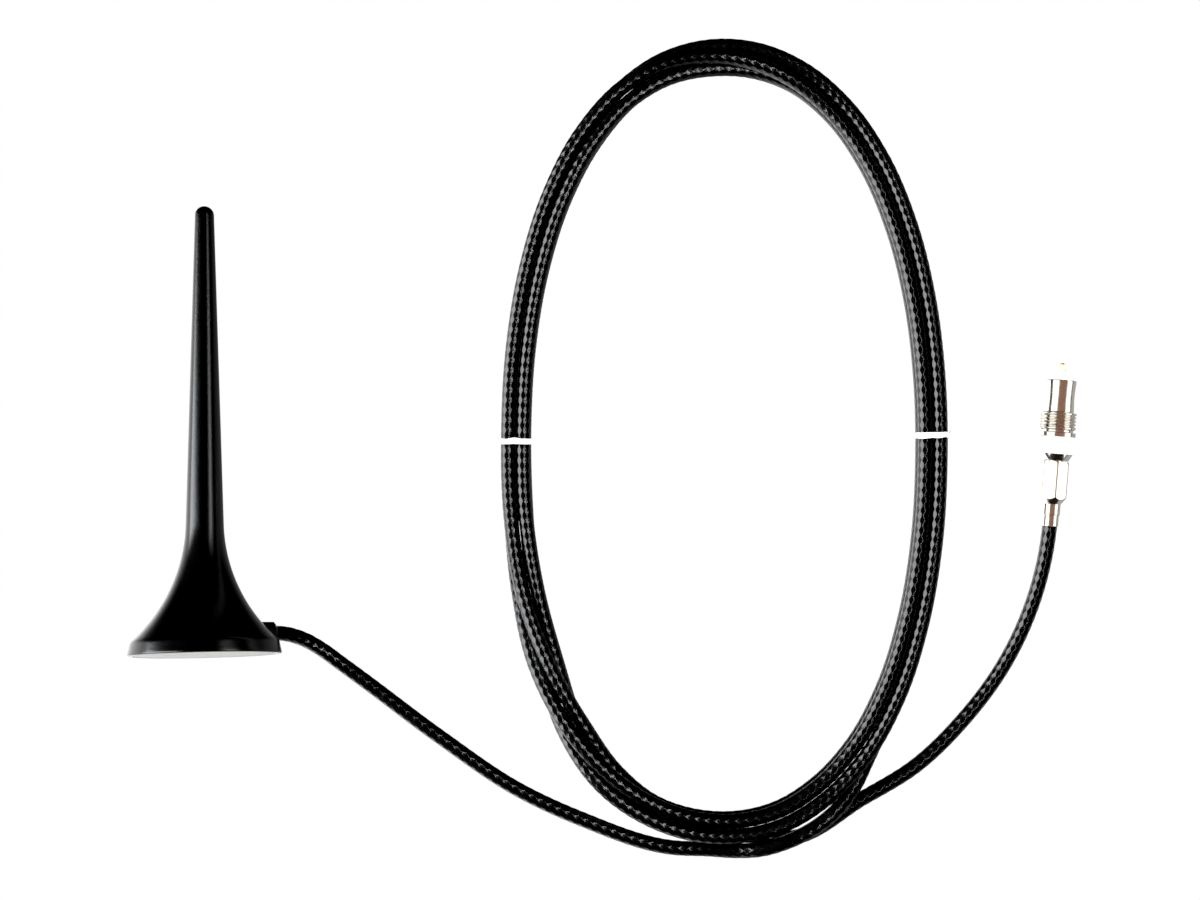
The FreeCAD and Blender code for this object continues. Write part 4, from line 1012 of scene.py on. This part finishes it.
def make_insulator_and_pin():
    outline = [(0.69, 22.1), (2.25, 22.1), (2.25, 34.2)]
    outline += arc_points((2.0, 34.25), 0.25, 0.0, 90.0, 6)
    outline += [(1.1, 34.5), (0.95, 34.3), (0.69, 34.3), (0.69, 22.1)]
    insulator = lathe("insulator", outline, PLUG, "white_insulator", 72, sharp_degrees=40.0)
    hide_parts("plug_insulator")
    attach(insulator, "plug")
    pin = [(0.3, 20.6), (0.58, 20.6), (0.65, 20.7), (0.65, 36.2)]
    pin += [(0.65 * math.cos(math.radians(angle)), 36.2 + 0.6 * math.sin(math.radians(angle)))
            for angle in range(15, 90, 15)]
    pin += [(0.0, 36.8)]
    pin = [(0.0, 22.4), (0.3, 22.4)] + pin
    contact = lathe("pin", pin, PLUG, "gold", 48, sharp_degrees=40.0)
    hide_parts("centre_contact")
    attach(contact, "plug")


# ---------------------------------------------------------------- stage

CAMERA_X, CAMERA_Y = 86.3, 44.8
CAMERA_HEIGHT = 420.0
VIEW_WIDTH = 272.7
SENSOR = 36.0
BLACK_POINT = 0.002
FLOOR_DIM, FLOOR_LEFT, FLOOR_PLUG = 0.25, 2.0, 0.5


def make_floor():
    half = 3000.0
    corners = [Vector((x, y, TABLE_Z))
               for x, y in ((-half, -half), (half, -half), (half, half), (-half, half))]
    mesh = bpy.data.meshes.new("floor")
    mesh.from_pydata([tuple(corner * MM) for corner in corners], [], [(0, 1, 2, 3)])
    floor = bpy.data.objects.new("floor", mesh)
    bpy.context.scene.collection.objects.link(floor)
    n = Nodes("pale_floor")
    cloud = n.noise(3.0, 3.0)
    n.set(Emission_Color=(1.0, 1.0, 1.0, 1.0), Specular_IOR_Level=0.0)
    n.link(floor_glow(n), n.shader.inputs["Emission Strength"])
    tone = n.mix(n.span(cloud, 0.0, 1.0), (0.28, 0.28, 0.28), (0.30, 0.30, 0.30))
    mesh.materials.append(n.finish(tone, 0.8))


def floor_glow(n):
    """White to the camera; to the pieces it is bright on their left and round the plug.

    The glow fades for light that leaves a piece towards the antenna's tip."""
    facing = n.add("ShaderNodeSeparateXYZ")
    n.link(n.add("ShaderNodeNewGeometry").outputs["Incoming"], facing.inputs["Vector"])
    place = n.add("ShaderNodeSeparateXYZ")
    n.link(n.place, place.inputs["Vector"])
    from_right = n.span(facing.outputs["X"], FLOOR_DIM, FLOOR_LEFT, -0.05, 0.35)
    from_tip = n.span(facing.outputs["Y"], 0.0, 1.0, -0.45, -0.15)
    near_plug = n.span(place.outputs["X"], 0.0, 1.0, 0.168, 0.176)
    glow = n.math("MAXIMUM", n.math("MULTIPLY", from_right, from_tip),
                  n.math("MULTIPLY", near_plug, FLOOR_PLUG))
    seen = n.add("ShaderNodeLightPath").outputs["Is Camera Ray"]
    return n.math("ADD", n.math("MULTIPLY", seen, 1.0),
                  n.math("MULTIPLY", n.math("SUBTRACT", 1.0, seen), glow))


MAST_PIECES = ("antenna_shell",)
ROPE_PIECES = CABLE_PIECES + ("strain_relief",)
WHITE_PIECES = ("collar", "insulator", "pin", "twist_tie_left", "twist_tie_right")
STRIP_HEIGHT = 700.0
STRIP_SPAN_Y = (-755.0, 845.0)
WALL_DISTANCE = 2000.0


def softbox(name, centre, target, width, length, radiance, pieces, colour=(1.0, 1.0, 1.0)):
    """Rectangular light aimed at a target and flagged so that it lights only some pieces."""
    light = bpy.data.lights.new(name, "AREA")
    light.shape = "RECTANGLE"
    light.size, light.size_y = width * MM, length * MM
    light.energy = radiance * math.pi * width * length * MM * MM
    light.color = colour
    lamp = bpy.data.objects.new(name, light)
    bpy.context.scene.collection.objects.link(lamp)
    lamp.location = centre * MM
    lamp.rotation_mode = "QUATERNION"
    lamp.rotation_quaternion = (target - centre).to_track_quat("-Z", "Y")
    lit = bpy.data.collections.new(name + "_lit")
    for piece in pieces:
        lit.objects.link(bpy.data.objects[piece])
    lamp.light_linking.receiver_collection = lit


def wall_light(name, side, low, high, start_y, end_y, radiance, pieces, colour=(1.0, 1.0, 1.0)):
    """Far softbox standing on one side, lit between two angles measured down from straight up."""
    top = WALL_DISTANCE / math.tan(math.radians(low))
    bottom = WALL_DISTANCE / math.tan(math.radians(high))
    middle = Vector((CAMERA_X + side * WALL_DISTANCE, (start_y + end_y) / 2.0,
                     TABLE_Z + (top + bottom) / 2.0))
    target = Vector((CAMERA_X, middle.y, middle.z))
    softbox(name, middle, target, end_y - start_y, top - bottom, radiance, pieces, colour)


def overhead_light(name, start_x, end_x, radiance, pieces, colour=(1.0, 1.0, 1.0), span_y=STRIP_SPAN_Y):
    """Softbox overhead between two x places and two y places."""
    start_y, end_y = span_y
    middle = Vector(((start_x + end_x) / 2.0, (start_y + end_y) / 2.0, STRIP_HEIGHT))
    target = Vector((middle.x, middle.y, TABLE_Z))
    softbox(name, middle, target, end_x - start_x, end_y - start_y, radiance, pieces, colour)


def make_lights():
    cool = (0.94, 0.97, 1.0)
    meshes = [item.name for item in bpy.context.scene.objects
              if item.type == "MESH" and item.name != "floor"]
    others = [name for name in meshes if name not in MAST_PIECES + ROPE_PIECES + WHITE_PIECES]
    wall_light("mast_left", -1.0, 28.0, 88.0, -1500.0, 620.0, 9.0, MAST_PIECES, cool)
    overhead_light("mast_right", 640.0, 1180.0, 3.4, MAST_PIECES, span_y=(-755.0, 600.0))
    wall_light("rope_left", -1.0, 44.0, 89.5, -1500.0, 1500.0, 7.0, ROPE_PIECES, cool)
    overhead_light("rope_right", 310.0, 360.0, 16.0, ROPE_PIECES, span_y=(-230.0, 320.0))
    wall_light("plug_left", -1.0, 27.0, 80.0, -2500.0, 2500.0, 1.8, others)
    wall_light("plug_right", 1.0, 38.0, 80.0, -2500.0, 2500.0, 1.8, others)
    overhead_light("plug_card", -150.0, 700.0, 0.32, others, (1.0, 0.58, 0.42))
    wall_light("white_left", -1.0, 40.0, 88.0, -1500.0, 1500.0, 7.0, WHITE_PIECES)
    wall_light("white_right", 1.0, 40.0, 88.0, -1500.0, 1500.0, 7.0, WHITE_PIECES)
    overhead_light("white_top", -150.0, 500.0, 2.5, WHITE_PIECES)
    world = bpy.data.worlds.new("studio")
    world.use_nodes = True
    world.node_tree.nodes["Background"].inputs["Color"].default_value = (1.0, 0.90, 0.82, 1)
    world.node_tree.nodes["Background"].inputs["Strength"].default_value = 0.012
    bpy.context.scene.world = world


def make_camera():
    data = bpy.data.cameras.new("camera")
    data.sensor_width = SENSOR
    data.lens = SENSOR * CAMERA_HEIGHT / VIEW_WIDTH
    data.clip_start, data.clip_end = 0.01, 30.0
    camera = bpy.data.objects.new("camera", data)
    bpy.context.scene.collection.objects.link(camera)
    camera.location = Vector((CAMERA_X, CAMERA_Y, TABLE_Z + CAMERA_HEIGHT)) * MM
    bpy.context.scene.camera = camera
    view = bpy.context.scene.view_settings
    view.view_transform = "Standard"
    view.use_curve_mapping = True
    view.curve_mapping.black_level = (BLACK_POINT, BLACK_POINT, BLACK_POINT)
    view.curve_mapping.update()


def dress_cad_nodes():
    """Every CAD node that stays visible or hidden inside gets its slot's finished material."""
    for part in frame["record"]["subparts"]:
        node = frame["nodes"][part["node"]]
        node.data.materials.clear()
        node.data.materials.append(MATERIALS[part["material_slot"]])


dress_cad_nodes()
make_antenna_shell()
make_cable_gland()
make_foot_pad()
make_cable()
make_ties()
make_plug_shell()
make_collar()
make_ferrule()
make_insulator_and_pin()
make_floor()
make_lights()
make_camera()
